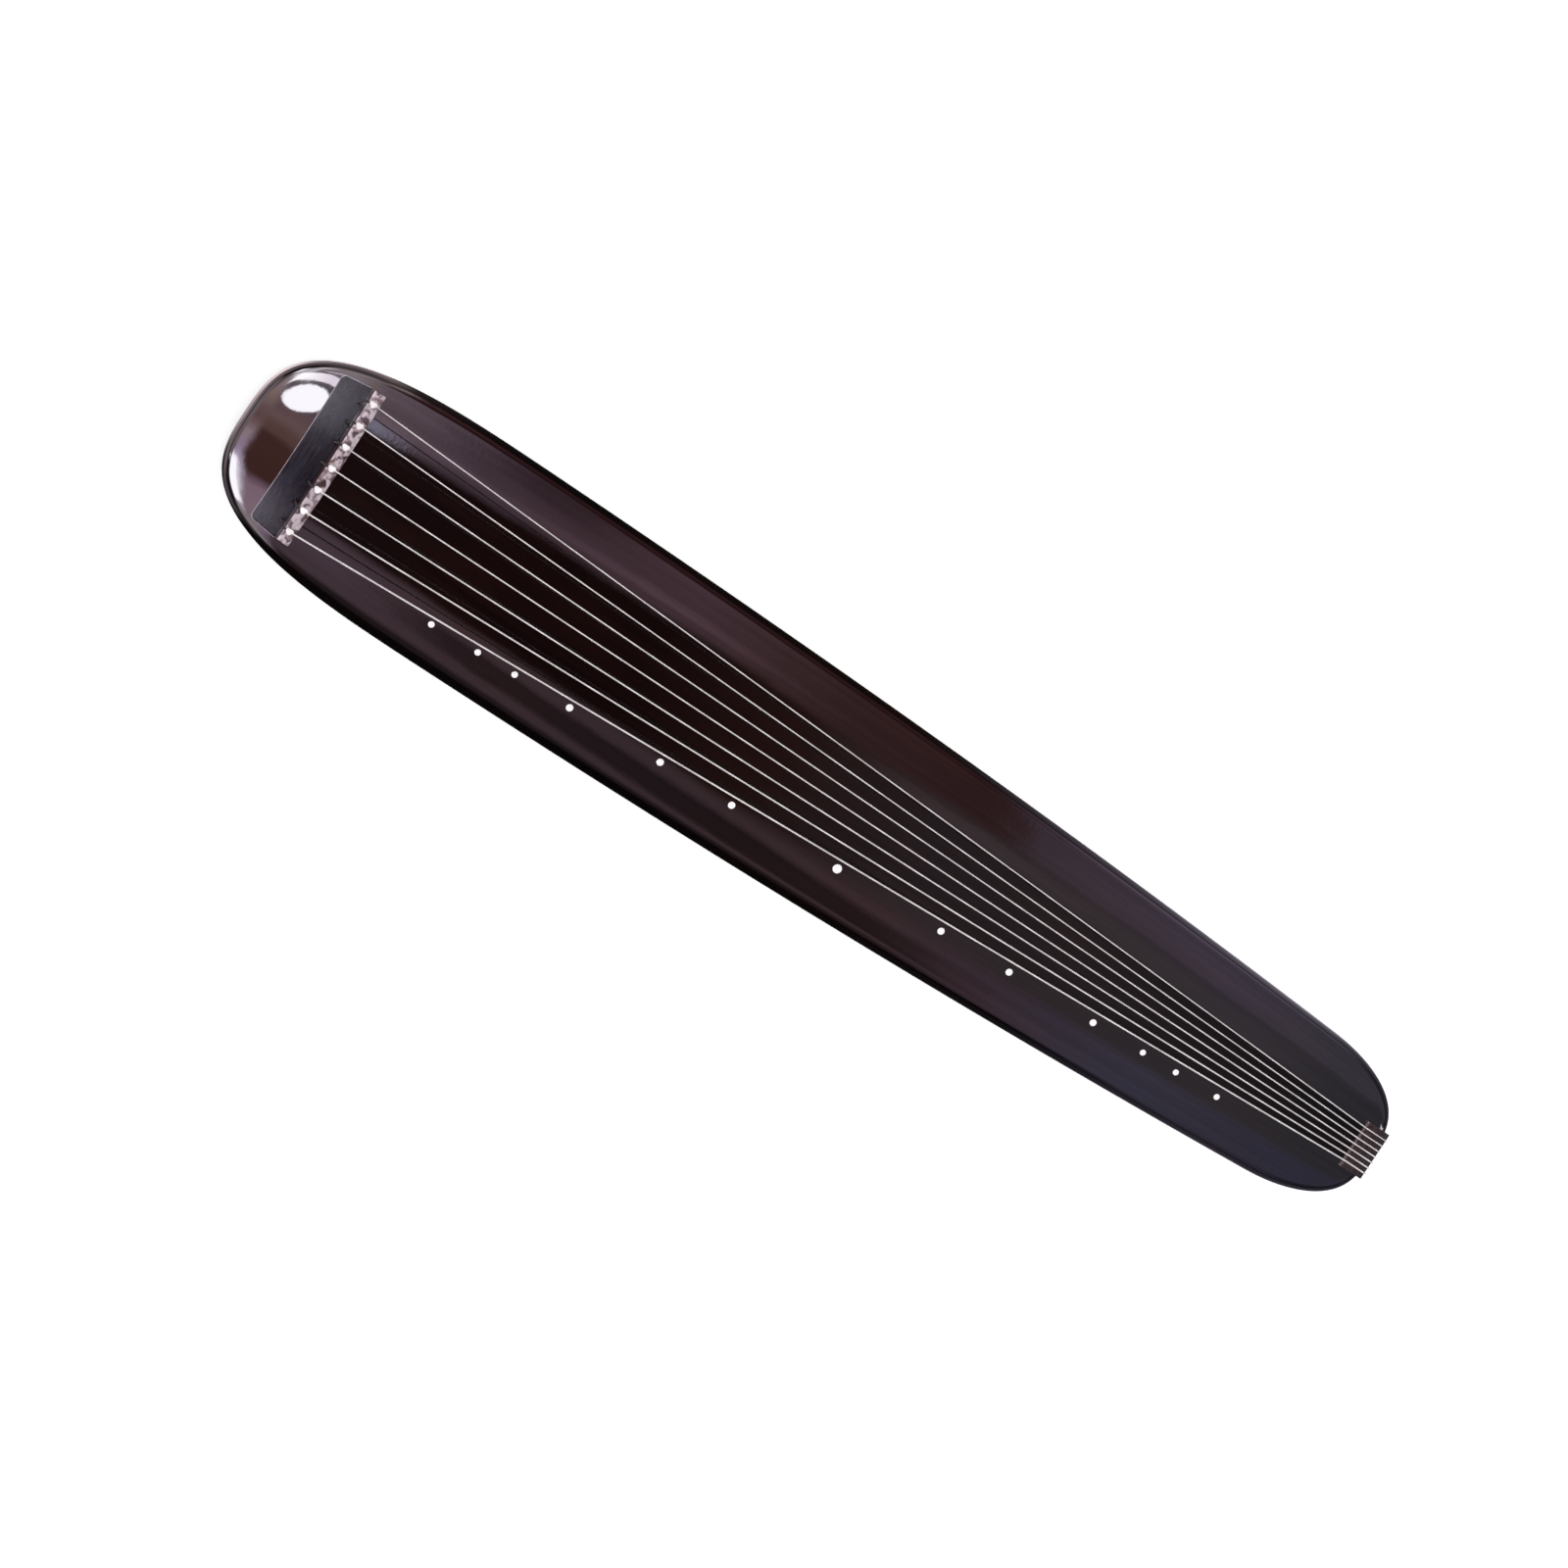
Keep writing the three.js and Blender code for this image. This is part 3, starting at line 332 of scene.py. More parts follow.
PLATE_THICKNESS, SIDE_WALL = 9, 14
HOLLOW_START, HOLLOW_END = 150, 1134.5
BRIDGE_END = 87
STRING_LENGTH = 1106


def spot(place, side, height):
    return Vector(((HEAD_TIP + place) * MM, side * MM, height * MM))


def half_width(place):
    along = max(0, (place - HEAD_ROUND) / (BOARD_LENGTH - HEAD_ROUND))
    return WIDEST_HALF * (1 - TAPER_LOSS * along**TAPER_BEND)


def body_outline(spacing):
    """Points round the body in plan, evenly spaced, from the head tip by the player's side and back."""
    steps = 1500
    turn = [math.pi / 2 * step / steps for step in range(steps + 1)]
    dense = [(HEAD_ROUND * (1 - math.cos(a) ** (2 / HEAD_ALONG)), WIDEST_HALF * math.sin(a) ** (2 / HEAD_ACROSS))
             for a in turn]
    tail_start = BOARD_LENGTH - TAIL_ROUND
    for step in range(1, steps):
        place = HEAD_ROUND + (tail_start - HEAD_ROUND) * step / steps
        dense.append((place, half_width(place)))
    for angle in turn:
        place = tail_start + TAIL_ROUND * math.sin(angle) ** (2 / TAIL_ALONG)
        dense.append((place, half_width(place) * max(0, math.cos(angle)) ** (2 / TAIL_ACROSS)))
    lengths = [0]
    for start, end in zip(dense, dense[1:]):
        lengths.append(lengths[-1] + math.dist(start, end))
    count = round(lengths[-1] / spacing)
    half, at = [], 0
    for step in range(count + 1):
        wanted = lengths[-1] * step / count
        while at < len(dense) - 2 and lengths[at + 1] < wanted:
            at += 1
        share = (wanted - lengths[at]) / (lengths[at + 1] - lengths[at])
        half.append(tuple(a + (b - a) * share for a, b in zip(dense[at], dense[at + 1])))
    half[0], half[-1] = (0, 0), (BOARD_LENGTH, 0)
    return half + [(place, -side) for place, side in half[-2:0:-1]]


def towards_spine(point, share):
    place, side = point
    spine = min(max(place, SPINE_START), SPINE_END)
    return spine + (place - spine) * share, side * share


def drawn_in(point, inset):
    place, side = point
    reach = math.hypot(place - min(max(place, SPINE_START), SPINE_END), side)
    return towards_spine(point, max(0, reach - inset) / reach)


def rim_radius(point):
    """The soundboard's edge is rounded over more tightly round the head."""
    return HEAD_RIM_RADIUS + (RIM_RADIUS - HEAD_RIM_RADIUS) * min(1, point[0] / HEAD_RIM_LENGTH)


def skinned(name, rings, *materials, smooth=True, ends=True):
    """Skin over rows of points: (points, 1 if they lie on the soundboard's arch, material slot up to the next row)."""
    mesh = bpy.data.meshes.new(name)
    points, arched, faces, slots = [], [], [], []
    width = len(rings[0][0])
    for row, (ring, on_arch, *slot) in enumerate(rings):
        points += ring
        arched += [on_arch] * width
        if row:
            for index in range(width):
                a, b = row * width + index, row * width + (index + 1) % width
                faces.append((a - width, b - width, b, a))
        slots += (slot or [0]) * width
    mesh.from_pydata(points, [], faces)
    mesh.attributes.new("arched", "FLOAT", "POINT").data.foreach_set("value", arched)
    mesh.polygons.foreach_set("material_index", slots[:len(faces)])
    shape = bmesh.new()
    shape.from_mesh(mesh)
    bmesh.ops.remove_doubles(shape, verts=shape.verts, dist=1e-6)
    bmesh.ops.dissolve_degenerate(shape, edges=shape.edges, dist=1e-6)
    bmesh.ops.recalc_face_normals(shape, faces=shape.faces)
    for face in shape.faces:
        face.smooth = smooth
    if ends:
        bmesh.ops.holes_fill(shape, edges=[edge for edge in shape.edges if edge.is_boundary], sides=0)
        bmesh.ops.recalc_face_normals(shape, faces=shape.faces)
    shape.to_mesh(mesh)
    shape.free()
    for material in materials:
        mesh.materials.append(material)
    return new_object(name, mesh)


def new_tree(name, **inputs):
    """Tree of nodes that shapes a piece, with its input sockets and the socket of its result."""
    tree = bpy.data.node_groups.new(name, "GeometryNodeTree")
    for label, kind in {"Geometry": "Geometry", **inputs}.items():
        tree.interface.new_socket(label, in_out="INPUT", socket_type="NodeSocket" + kind)
    tree.interface.new_socket("Geometry", in_out="OUTPUT", socket_type="NodeSocketGeometry")
    return tree, tree.nodes.new("NodeGroupInput").outputs, tree.nodes.new("NodeGroupOutput").inputs[0]


def finish_tree(tree, given, result, geometry):
    solid = put(tree, "GeometryNodeRealizeInstances", {0: geometry})
    tree.links.new(put(tree, "GeometryNodeSetMaterial", {"Geometry": solid, "Material": given["Material"]}), result)


def use_tree(piece, tree, **values):
    modifier = piece.modifiers.new(tree.name, "NODES")
    modifier.node_group = tree
    for label, value in values.items():
        modifier[tree.interface.items_tree[label].identifier] = value


def settle(piece):
    """The modifiers' result as the piece's own plain mesh."""
    graph = bpy.context.evaluated_depsgraph_get()
    mesh = bpy.data.meshes.new_from_object(piece.evaluated_get(graph), preserve_all_data_layers=True, depsgraph=graph)
    piece.modifiers.clear()
    old, piece.data = piece.data, mesh
    bpy.data.meshes.remove(old)
    mesh.name = piece.name


# The arch itself as a tree of nodes: whatever is flat and marked as arched is lifted onto the soundboard.
arch, given, result = new_tree("arch_of_the_soundboard")
x, y, _ = add_node(arch, "ShaderNodeSeparateXYZ", {0: put(arch, "GeometryNodeInputPosition")}).outputs


def sums(operation, *values):
    return calc(arch, operation, *values)


place = sums("SUBTRACT", sums("DIVIDE", x, MM), HEAD_TIP)
along = sums("DIVIDE", sums("SUBTRACT", place, BRIDGE_END), BOARD_LENGTH - BRIDGE_END)
crown = sums("MULTIPLY_ADD", along, CROWN_AT_TAIL - CROWN_AT_BRIDGE, CROWN_AT_BRIDGE)
bow = sums("MULTIPLY", sums("MULTIPLY", along, sums("SUBTRACT", 1, along)), 4 * BOW)
forehead = sums("MAXIMUM", sums("SUBTRACT", 1, sums("DIVIDE", place, BRIDGE_END)), 0)
drop = sums("MULTIPLY", HEAD_DROP, sums("POWER", forehead, 2))
past_widest = sums("MAXIMUM", sums("DIVIDE", sums("SUBTRACT", place, HEAD_ROUND), BOARD_LENGTH - HEAD_ROUND), 0)
half = sums("MULTIPLY", sums("MULTIPLY_ADD", sums("POWER", past_widest, TAPER_BEND), -TAPER_LOSS, 1), WIDEST_HALF)
depth = sums("MULTIPLY_ADD", place, (ARCH_AT_TAIL - ARCH_AT_HEAD) / BOARD_LENGTH, ARCH_AT_HEAD)
fall = sums("MULTIPLY", depth, sums("POWER", sums("ABSOLUTE", sums("DIVIDE", sums("DIVIDE", y, MM), half)), 2))
lift = sums("SUBTRACT", sums("SUBTRACT", sums("ADD", sums("ADD", crown, bow), JOINT_Z), drop), fall)
arched_share = put(arch, "GeometryNodeInputNamedAttribute", {0: "arched"}, data_type="FLOAT")
upward = put(arch, "ShaderNodeCombineXYZ", {2: sums("MULTIPLY", sums("MULTIPLY", lift, MM), arched_share)})
arch.links.new(put(arch, "GeometryNodeSetPosition", {"Geometry": given["Geometry"], "Offset": upward}), result)


def dress(tree, color, roughness, relief, strength, distance, **more):
    """Links the shader's colour and roughness, and a relief as its bump."""
    bump = put(tree, "ShaderNodeBump", {"Strength": strength, "Distance": distance, "Height": relief, **more})
    for label, socket in (("Base Color", color), ("Roughness", roughness), ("Normal", bump)):
        tree.links.new(socket, tree.nodes["Principled BSDF"].inputs[label])


def place_on(tree):
    return add_node(tree, "ShaderNodeTexCoord").outputs["Object"]


lacquer, coat_tree = new_material("black_brown_lacquer", IOR=1.52, Coat_Weight=0.25, Coat_Roughness=0.03)
where = place_on(coat_tree)
streaks = noise(coat_tree, stretched(coat_tree, where, (2.2, 26, 26)), 1.6, 6, Roughness=0.62, Distortion=0.4)
clouding = noise(coat_tree, where, 7, 3)
depth_share = calc(coat_tree, "MULTIPLY_ADD", streaks, 0.65, calc(coat_tree, "MULTIPLY", clouding, 0.35))
coat_color = ramp(coat_tree, depth_share, [
    (0.34, (0.0012, 0.0007, 0.0008)), (0.5, (0.0024, 0.0012, 0.0012)), (0.66, (0.0065, 0.0026, 0.002)),
])
smears = noise(coat_tree, where, 34, 4)
polish = noise(coat_tree, stretched(coat_tree, where, (5, 14, 14)), 2.2, 2, Roughness=0.4)
rolling = put(coat_tree, "ShaderNodeBump", {"Strength": 0.16, "Distance": 0.0016, "Height": polish})
dress(coat_tree, coat_color, calc(coat_tree, "MULTIPLY_ADD", smears, 0.03, 0.022),
      noise(coat_tree, where, 260, 2), 0.06, 0.0002, Normal=rolling)


def wood_material(name, stops, grain, roughness=0.32, bump=0.12, coat=0, specular=0.5):
    """Hardwood: pores drawn out along the grain over slow rings, with the grain given as a stretch of the pattern."""
    made, tree = new_material(name, Specular_IOR_Level=specular, Coat_Weight=coat, Coat_Roughness=0.12)
    drawn = stretched(tree, place_on(tree), grain)
    pores = noise(tree, drawn, 9, 7, Roughness=0.7, Distortion=0.25)
    rings = noise(tree, drawn, 1.7, 2, Distortion=1.1)
    blend = calc(tree, "MULTIPLY_ADD", pores, 0.5, calc(tree, "MULTIPLY", rings, 0.5))
    dress(tree, ramp(tree, blend, stops), calc(tree, "MULTIPLY_ADD", pores, 0.22, roughness - 0.1), pores, bump, 0.0003)
    return made


bare_wood = wood_material("bare_soundboard_wood", [
    (0.3, (0.34, 0.19, 0.085)), (0.52, (0.5, 0.31, 0.15)), (0.72, (0.62, 0.42, 0.22)),
], (3, 60, 60), roughness=0.75, bump=0.3)

OUTLINE_SPACING, ROWS_ACROSS, RIM_ROWS, CEILING_ROWS = 4.2, 22, 12, 9
LACQUERED, BARE = 0, 1
outline = body_outline(OUTLINE_SPACING)
rows = []


def add_row(points, height, arched, slot=LACQUERED):
    rows.append(([spot(*point, height) for point in points], arched, slot))


for step in range(ROWS_ACROSS):
    add_row([towards_spine(drawn_in(p, rim_radius(p)), step / ROWS_ACROSS) for p in outline], 0, 1)
for step in range(RIM_ROWS + 1):
    angle = math.pi / 2 * step / RIM_ROWS
    ring = [(drawn_in(p, rim_radius(p) * (1 - math.sin(angle))), rim_radius(p)) for p in outline]
    rows.append(([spot(*inner, -radius * (1 - math.cos(angle))) for inner, radius in ring], 1))
add_row(outline, JOINT_Z, 0, BARE)


def within_hollow(point, share=1):
    place, side = towards_spine(drawn_in(point, SIDE_WALL), share)
    return min(max(place, HOLLOW_START), HOLLOW_END), side


add_row([within_hollow(p) for p in outline], JOINT_Z, 0, BARE)
for step in range(CEILING_ROWS):
    share = 1 - step / (CEILING_ROWS - 1)
    add_row([within_hollow(p, share) for p in outline], -PLATE_THICKNESS, 1, BARE)


soundboard = skinned("soundboard_shell", rows, lacquer, bare_wood, ends=False)
use_tree(soundboard, arch)
settle(soundboard)
soundboard.data.set_sharp_from_angle(angle=math.radians(40))
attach(soundboard, "root")
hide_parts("soundboard")

# Bottom board: a flat plank glued under the soundboard and lacquered with it, its lower edge rounded over.
# Cut through it are the long and the short sound hole, and the peg pool below the head.
BOTTOM_Z, BOTTOM_RADIUS, BOTTOM_ROWS = 31, 5, 8
rows = []
add_row([towards_spine(p, 0) for p in outline], JOINT_Z, 0, BARE)
add_row(outline, JOINT_Z, 0)
for step in range(BOTTOM_ROWS + 1):
    angle = math.pi / 2 * step / BOTTOM_ROWS
    inset = BOTTOM_RADIUS * (1 - math.cos(angle))
    add_row([drawn_in(p, inset) for p in outline], BOTTOM_Z + BOTTOM_RADIUS * (1 - math.sin(angle)), 0)
add_row([towards_spine(p, 0) for p in outline], BOTTOM_Z, 0)
bottom = skinned("bottom_board_plank", rows, lacquer, bare_wood, ends=False)


def rounded_plan(place, half_x, half_y, radius, steps=10):
    plan = []
    for corner, (sx, sy) in enumerate(((1, 1), (-1, 1), (-1, -1), (1, -1))):
        for step in range(steps + 1):
            angle = math.pi / 2 * (corner + step / steps)
            plan.append((place + sx * (half_x - radius) + radius * math.cos(angle),
                         sy * (half_y - radius) + radius * math.sin(angle)))
    return plan


def carve(piece, tools):
    for tool in tools:
        cut = piece.modifiers.new("cut", "BOOLEAN")
        cut.object, cut.operation, cut.solver = tool, "DIFFERENCE", "EXACT"
    settle(piece)
    for tool in tools:
        bpy.data.meshes.remove(tool.data)


PEG_PLACE = 72.4
OPENINGS = [
    ("hole_0", BRIDGE_END + 0.374 * STRING_LENGTH, 105, 13.5, 13.5, 1.2),
    ("hole_1", BRIDGE_END + 0.813 * STRING_LENGTH, 52.5, 12.5, 12.5, 1.2),
    ("pool", PEG_PLACE, 11.5, 75, 4, 0.8),
]
tools = []
for name, place, half_x, half_y, corner, flare in OPENINGS:
    plan = rounded_plan(place, half_x, half_y, corner)
    mouth = rounded_plan(place, half_x + flare, half_y + flare, corner + flare)
    levels = [(mouth, BOTTOM_Z - 2), (mouth, BOTTOM_Z), (plan, BOTTOM_Z + flare), (plan, JOINT_Z + 2)]
    tools.append(skinned(name, [([spot(*point, height) for point in ring], 0) for ring, height in levels]))
carve(bottom, tools)
bottom.data.set_sharp_from_angle(angle=math.radians(30))
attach(bottom, "root")
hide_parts("bottom_board")

# Bridge: a bar of polished rosewood let into the head across the body, its top bowed like the soundboard, with a
# painted highlight: its top alone is painted pale and mottled for the light's sheen there. The seven strings cross
# its rounded tail-side edge in shallow grooves.
BRIDGE_START, BRIDGE_HALF, BRIDGE_DEPTH, BRIDGE_ARCH = 75.8, 74.3, 22, 6
STRINGS, SPAN, TAIL_SPAN = 7, 126, 35.2
DIAMETERS = [1.48, 1.38, 1.3, 1.24, 1.18, 1.12, 1.06]
GROOVE_LIFT, GROOVE_PLAY = 0.22, 0.08
bridge_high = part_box("bridge")[1].z / MM


def bridge_top(side):
    return bridge_high - BRIDGE_ARCH * (side / (SPAN / 2)) ** 2


def bar_across(name, section, half_length, steps, drop=lambda side: 0):
    """Bar across the body: a section of (place, height) corners swept from side to side, its ends closed."""
    sides = [half_length * (2 * step / steps - 1) for step in range(steps + 1)]
    rings = [([spot(place, side, height - drop(side)) for place, height in section], 0) for side in sides]
    return skinned(name, rings, smooth=False)


def soften(piece, width, segments=3, angle=35):
    bevel = piece.modifiers.new("soften", "BEVEL")
    bevel.width, bevel.segments, bevel.limit_method = width * MM, segments, "ANGLE"
    bevel.angle_limit = math.radians(angle)


def smooth_over(piece, angle=30):
    piece.data.polygons.foreach_set("use_smooth", [True] * len(piece.data.polygons))
    piece.data.set_sharp_from_angle(angle=math.radians(angle))


def string_side(index, span=SPAN):
    return span * (index / (STRINGS - 1) - 0.5)


def rod(name, start, end, radius, sides=16):
    shape = bmesh.new()
    bmesh.ops.create_cone(shape, cap_ends=True, segments=sides, radius1=radius * MM, radius2=radius * MM,
                          depth=(end - start).length)
    shape.transform(Matrix.Translation((start + end) / 2)
                    @ (end - start).to_track_quat("Z", "Y").to_matrix().to_4x4())
    mesh = bpy.data.meshes.new(name)
    shape.to_mesh(mesh)
    shape.free()
    return new_object(name, mesh)


bridge_floor = bridge_high - BRIDGE_DEPTH
bridge = bar_across("bridge_bar", [
    (BRIDGE_START, bridge_floor), (BRIDGE_END, bridge_floor), (BRIDGE_END, bridge_high), (BRIDGE_START, bridge_high),
], BRIDGE_HALF, 72, lambda side: bridge_high - bridge_top(side))
soften(bridge, 0.8, 4)
settle(bridge)
grooves = []
for index, diameter in enumerate(DIAMETERS):
    side = string_side(index)
    height = bridge_top(side) + GROOVE_LIFT * diameter
    grooves.append(rod(f"groove_{index}", spot(BRIDGE_END - 2.6, side, height), spot(BRIDGE_END + 2, side, height),
                       diameter / 2 + GROOVE_PLAY))
carve(bridge, grooves)
smooth_over(bridge)
bridge_wood = wood_material("bridge_rosewood", [
    (0.34, (0.022, 0.01, 0.009)), (0.48, (0.062, 0.027, 0.023)), (0.6, (0.105, 0.05, 0.041)),
    (0.72, (0.045, 0.02, 0.017)),
], (60, 9, 60), roughness=0.3, bump=0.15, coat=0.4)
bridge_tree = bridge_wood.node_tree
# Painted highlight: a pale mottled colour that stands in for the light's sheen on the bridge's flat top.
pale = ramp(bridge_tree, noise(bridge_tree, place_on(bridge_tree), 150, 4, Distortion=0.8), [
    (0.38, (0.02, 0.012, 0.013)), (0.44, (0.075, 0.045, 0.05)), (0.49, (0.2, 0.15, 0.165)),
    (0.55, (0.36, 0.3, 0.33)), (0.62, (0.44, 0.38, 0.42)),
])
crest = add_node(bridge_tree, "ShaderNodeAttribute", attribute_name="crest").outputs["Fac"]
bridge_color = bridge_tree.nodes["Principled BSDF"].inputs["Base Color"]
bridge_tree.links.new(mix_colors(bridge_tree, crest, bridge_color.links[0].from_socket, pale), bridge_color)
# The crest attribute marks the top faces, which get the painted highlight colour.
bridge.data.attributes.new("crest", "FLOAT", "POINT").data.foreach_set(
    "value", [float(v.co.z / MM > bridge_top(v.co.y / MM) - 0.25) for v in bridge.data.vertices])
bridge.data.materials.append(bridge_wood)
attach(bridge, "root")
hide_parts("bridge")

# Apron: a strip of dark satin hardwood inlaid in front of the bridge, with seven holes for the peg cords.
# Its head-side corners are rounded, and a thin strip runs round its edge whose pale colour is a painted highlight
# of the light caught along the raised edge.
APRON_START, APRON_END = 48.5, 75.5
APRON_HALF_HEAD, APRON_HALF_BRIDGE, APRON_CORNER = 71.3, 74.8, 4
APRON_PROUD, APRON_INLAY, EDGE_STRIP, EDGE_STRIP_LOWER = 0.8, 4, 0.55, 0.25
PEG_SPAN, CORD_HOLE = 118.4, 1.8


def apron_strip(name, inset, top, bottom, material):
    """Slab over the apron's plan, drawn in by an inset: rows from its head edge, its corners rounded, to the bridge."""
    start = APRON_START + inset
    places = [start + APRON_CORNER * (1 - math.cos(math.pi / 2 * step / 8)) for step in range(8)]
    places += [start + APRON_CORNER + (APRON_END - start - APRON_CORNER) * step / 8 for step in range(9)]
    sides = [2 * step / 72 - 1 for step in range(73)]
    rings = []
    for place in places:
        share = (place - APRON_START) / (APRON_END - APRON_START)
        half = APRON_HALF_HEAD + (APRON_HALF_BRIDGE - APRON_HALF_HEAD) * share - inset
        half -= APRON_CORNER * (1 - math.sqrt(1 - max(0, 1 - (place - start) / APRON_CORNER) ** 2))
        upper, lower = ([spot(place, half * side, height) for side in sides] for height in (top, bottom))
        rings.append((upper + lower[::-1], 1))
    return skinned(name, rings, material)


def onto_arch(piece):
    """A flat piece lifted onto the soundboard."""
    layer = piece.data.attributes.get("arched") or piece.data.attributes.new("arched", "FLOAT", "POINT")
    layer.data.foreach_set("value", [1.0] * len(piece.data.vertices))
    use_tree(piece, arch)
    settle(piece)


apron_wood = wood_material("apron_hardwood", [
    (0.36, (0.0024, 0.0026, 0.0055)), (0.5, (0.005, 0.0058, 0.011)), (0.64, (0.016, 0.018, 0.03)),
], (200, 7, 200), roughness=0.22, bump=0.3, specular=0.2)
# Painted highlight: the pale colour of the thin edge strip stands in for light caught along the apron's raised edge.
edge_highlight_wood = wood_material("apron_edge_highlight", [
    (0.34, (0.2, 0.175, 0.2)), (0.6, (0.32, 0.29, 0.33)),
], (90, 14, 90), roughness=0.35)
# The thin edge strip carries the painted highlight colour.
edge_strip = apron_strip("apron_edge_line", 0, APRON_PROUD - EDGE_STRIP_LOWER, -APRON_INLAY, edge_highlight_wood)
apron = apron_strip("bridge_apron_strip", EDGE_STRIP, APRON_PROUD, -APRON_INLAY + 0.5, apron_wood)
for strip in (edge_strip, apron):
    ends = [[spot(PEG_PLACE, string_side(index, PEG_SPAN), height) for height in (-9, 9)] for index in range(STRINGS)]
    carve(strip, [rod("cord_hole", start, end, CORD_HOLE, 20) for start, end in ends])
    soften(strip, 0.25, 2, 50)
    onto_arch(strip)
    smooth_over(strip, 35)
    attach(strip, "root")
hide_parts("bridge_apron")

# Inlay dots: thirteen thin discs of mother-of-pearl let into the soundboard outside string 1, one at each simple
# share of the string length. The middle one is the largest, and each stands a hair proud of the lacquer.
DOT_SHARES = [1 / 8, 1 / 6, 1 / 5, 1 / 4, 1 / 3, 2 / 5, 1 / 2, 3 / 5, 2 / 3, 3 / 4, 4 / 5, 5 / 6, 7 / 8]
DOT_RADII = [2.8] * 3 + [3.2] * 3 + [4.1] + [3.2] * 3 + [2.8] * 3
DOT_PROUD, DOT_THICKNESS = 0.15, 0.8
OUTSIDE_AT_BRIDGE, OUTSIDE_AT_TAIL = 5.7, 10.7
dot_tree, given, result = new_tree("row_of_dots", Material="Material")
disc = put(dot_tree, "GeometryNodeMeshCylinder", {"Vertices": 40, "Radius": 1, "Depth": DOT_THICKNESS * MM})
dot_radius = put(dot_tree, "GeometryNodeInputNamedAttribute", {0: "dot_radius"}, data_type="FLOAT")
placed = put(dot_tree, "GeometryNodeInstanceOnPoints", {
    "Points": given["Geometry"], "Instance": disc,
    "Scale": put(dot_tree, "ShaderNodeCombineXYZ", {0: dot_radius, 1: dot_radius, 2: 1}),
})
finish_tree(dot_tree, given, result, placed)

pearl, pearl_tree = new_material("mother_of_pearl", Coat_Weight=0.6, Coat_Roughness=0.06)
layers = noise(pearl_tree, place_on(pearl_tree), 420, 3, Distortion=1.6)
sheen = ramp(pearl_tree, layers, [
    (0.32, (0.72, 0.8, 0.83)), (0.45, (0.92, 0.92, 0.92)), (0.56, (0.95, 0.86, 0.9)), (0.7, (0.82, 0.9, 0.85)),
])
dress(pearl_tree, sheen, calc(pearl_tree, "MULTIPLY_ADD", layers, 0.18, 0.14), layers, 0.12, 0.0002)

dot_mesh = bpy.data.meshes.new("inlay_dots")
dot_spots = []
for share in DOT_SHARES:
    outside = OUTSIDE_AT_BRIDGE + (OUTSIDE_AT_TAIL - OUTSIDE_AT_BRIDGE) * share
    dot_spots.append(spot(BRIDGE_END + share * STRING_LENGTH, -(SPAN + (TAIL_SPAN - SPAN) * share) / 2 - outside,
                          DOT_PROUD - DOT_THICKNESS / 2))
dot_mesh.from_pydata(dot_spots, [], [])
dot_mesh.attributes.new("dot_radius", "FLOAT", "POINT").data.foreach_set("value", [r * MM for r in DOT_RADII])
dots = new_object("inlay_dots", dot_mesh)
use_tree(dots, dot_tree, Material=pearl)
soften(dots, 0.12, 2)
settle(dots)
onto_arch(dots)
smooth_over(dots, 40)
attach(dots, "root")
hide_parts(*[f"inlay_dot_{number}" for number in range(1, len(DOT_SHARES) + 1)])

# Tail nut and lower nut: two bars of dark rosewood let into the tail, above and below. The strings bend round
# their rounded outer edges on the way from the top of the body to its underside.
NUT_RADIUS = 6
nut_low, nut_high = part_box("tail_nut")
under_low, under_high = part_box("lower_nut")
NUT_FRONT, TAIL_END = nut_low.x / MM - HEAD_TIP, nut_high.x / MM - HEAD_TIP
NUT_TOP, NUT_CREST = nut_high.z / MM, BRIDGE_END + STRING_LENGTH
UNDER_FRONT, UNDER_LOW = under_low.x / MM - HEAD_TIP, under_low.z / MM


def quarter_round(place, height, start, steps=10):
    turn = [start - math.pi / 2 * step / steps for step in range(steps + 1)]
    return [(place + NUT_RADIUS * math.cos(angle), height + NUT_RADIUS * math.sin(angle)) for angle in turn]


dark_rosewood = wood_material("dark_rosewood", [
    (0.3, (0.03, 0.014, 0.013)), (0.48, (0.072, 0.032, 0.028)), (0.62, (0.11, 0.052, 0.043)),
    (0.76, (0.05, 0.022, 0.02)),
], (60, 9, 60), roughness=0.3, bump=0.14, coat=0.3)
nut_wood = wood_material("tail_nut_wood", [
    (0.3, (0.007, 0.005, 0.005)), (0.5, (0.016, 0.01, 0.01)), (0.72, (0.034, 0.021, 0.019)),
], (60, 9, 60), roughness=0.3, bump=0.14, coat=0.2)
nut = bar_across("tail_nut_bar", [
    (NUT_FRONT, nut_low.z / MM), (NUT_FRONT, NUT_TOP - 1), (NUT_FRONT + 1.2, NUT_TOP - 0.5), (NUT_CREST, NUT_TOP),
    *quarter_round(TAIL_END - NUT_RADIUS, NUT_TOP - NUT_RADIUS, math.pi / 2), (TAIL_END, nut_low.z / MM),
], nut_high.y / MM, 24)
under = bar_across("lower_nut_bar", [
    (UNDER_FRONT, under_high.z / MM), (TAIL_END, under_high.z / MM),
    *quarter_round(TAIL_END - NUT_RADIUS, UNDER_LOW + NUT_RADIUS, 0), (UNDER_FRONT, UNDER_LOW),
], under_high.y / MM, 24)
for bar, node in ((nut, "tail_nut"), (under, "lower_nut")):
    soften(bar, 0.6, 3)
    settle(bar)
    smooth_over(bar)
    bar.data.materials.append(nut_wood)
    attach(bar, "root")
    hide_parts(node)

# Sound posts and peg plate: two unfinished posts stand in the sound box, and a thin plate of rosewood with a hole
# for each cord is glued to the ceiling of the peg pool. All three can only be seen through the openings.
for name, wood in (("heaven_post", bare_wood), ("earth_post", bare_wood), ("peg_plate", dark_rosewood)):
    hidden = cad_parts[name].data.materials
    hidden.clear()
    hidden.append(wood)

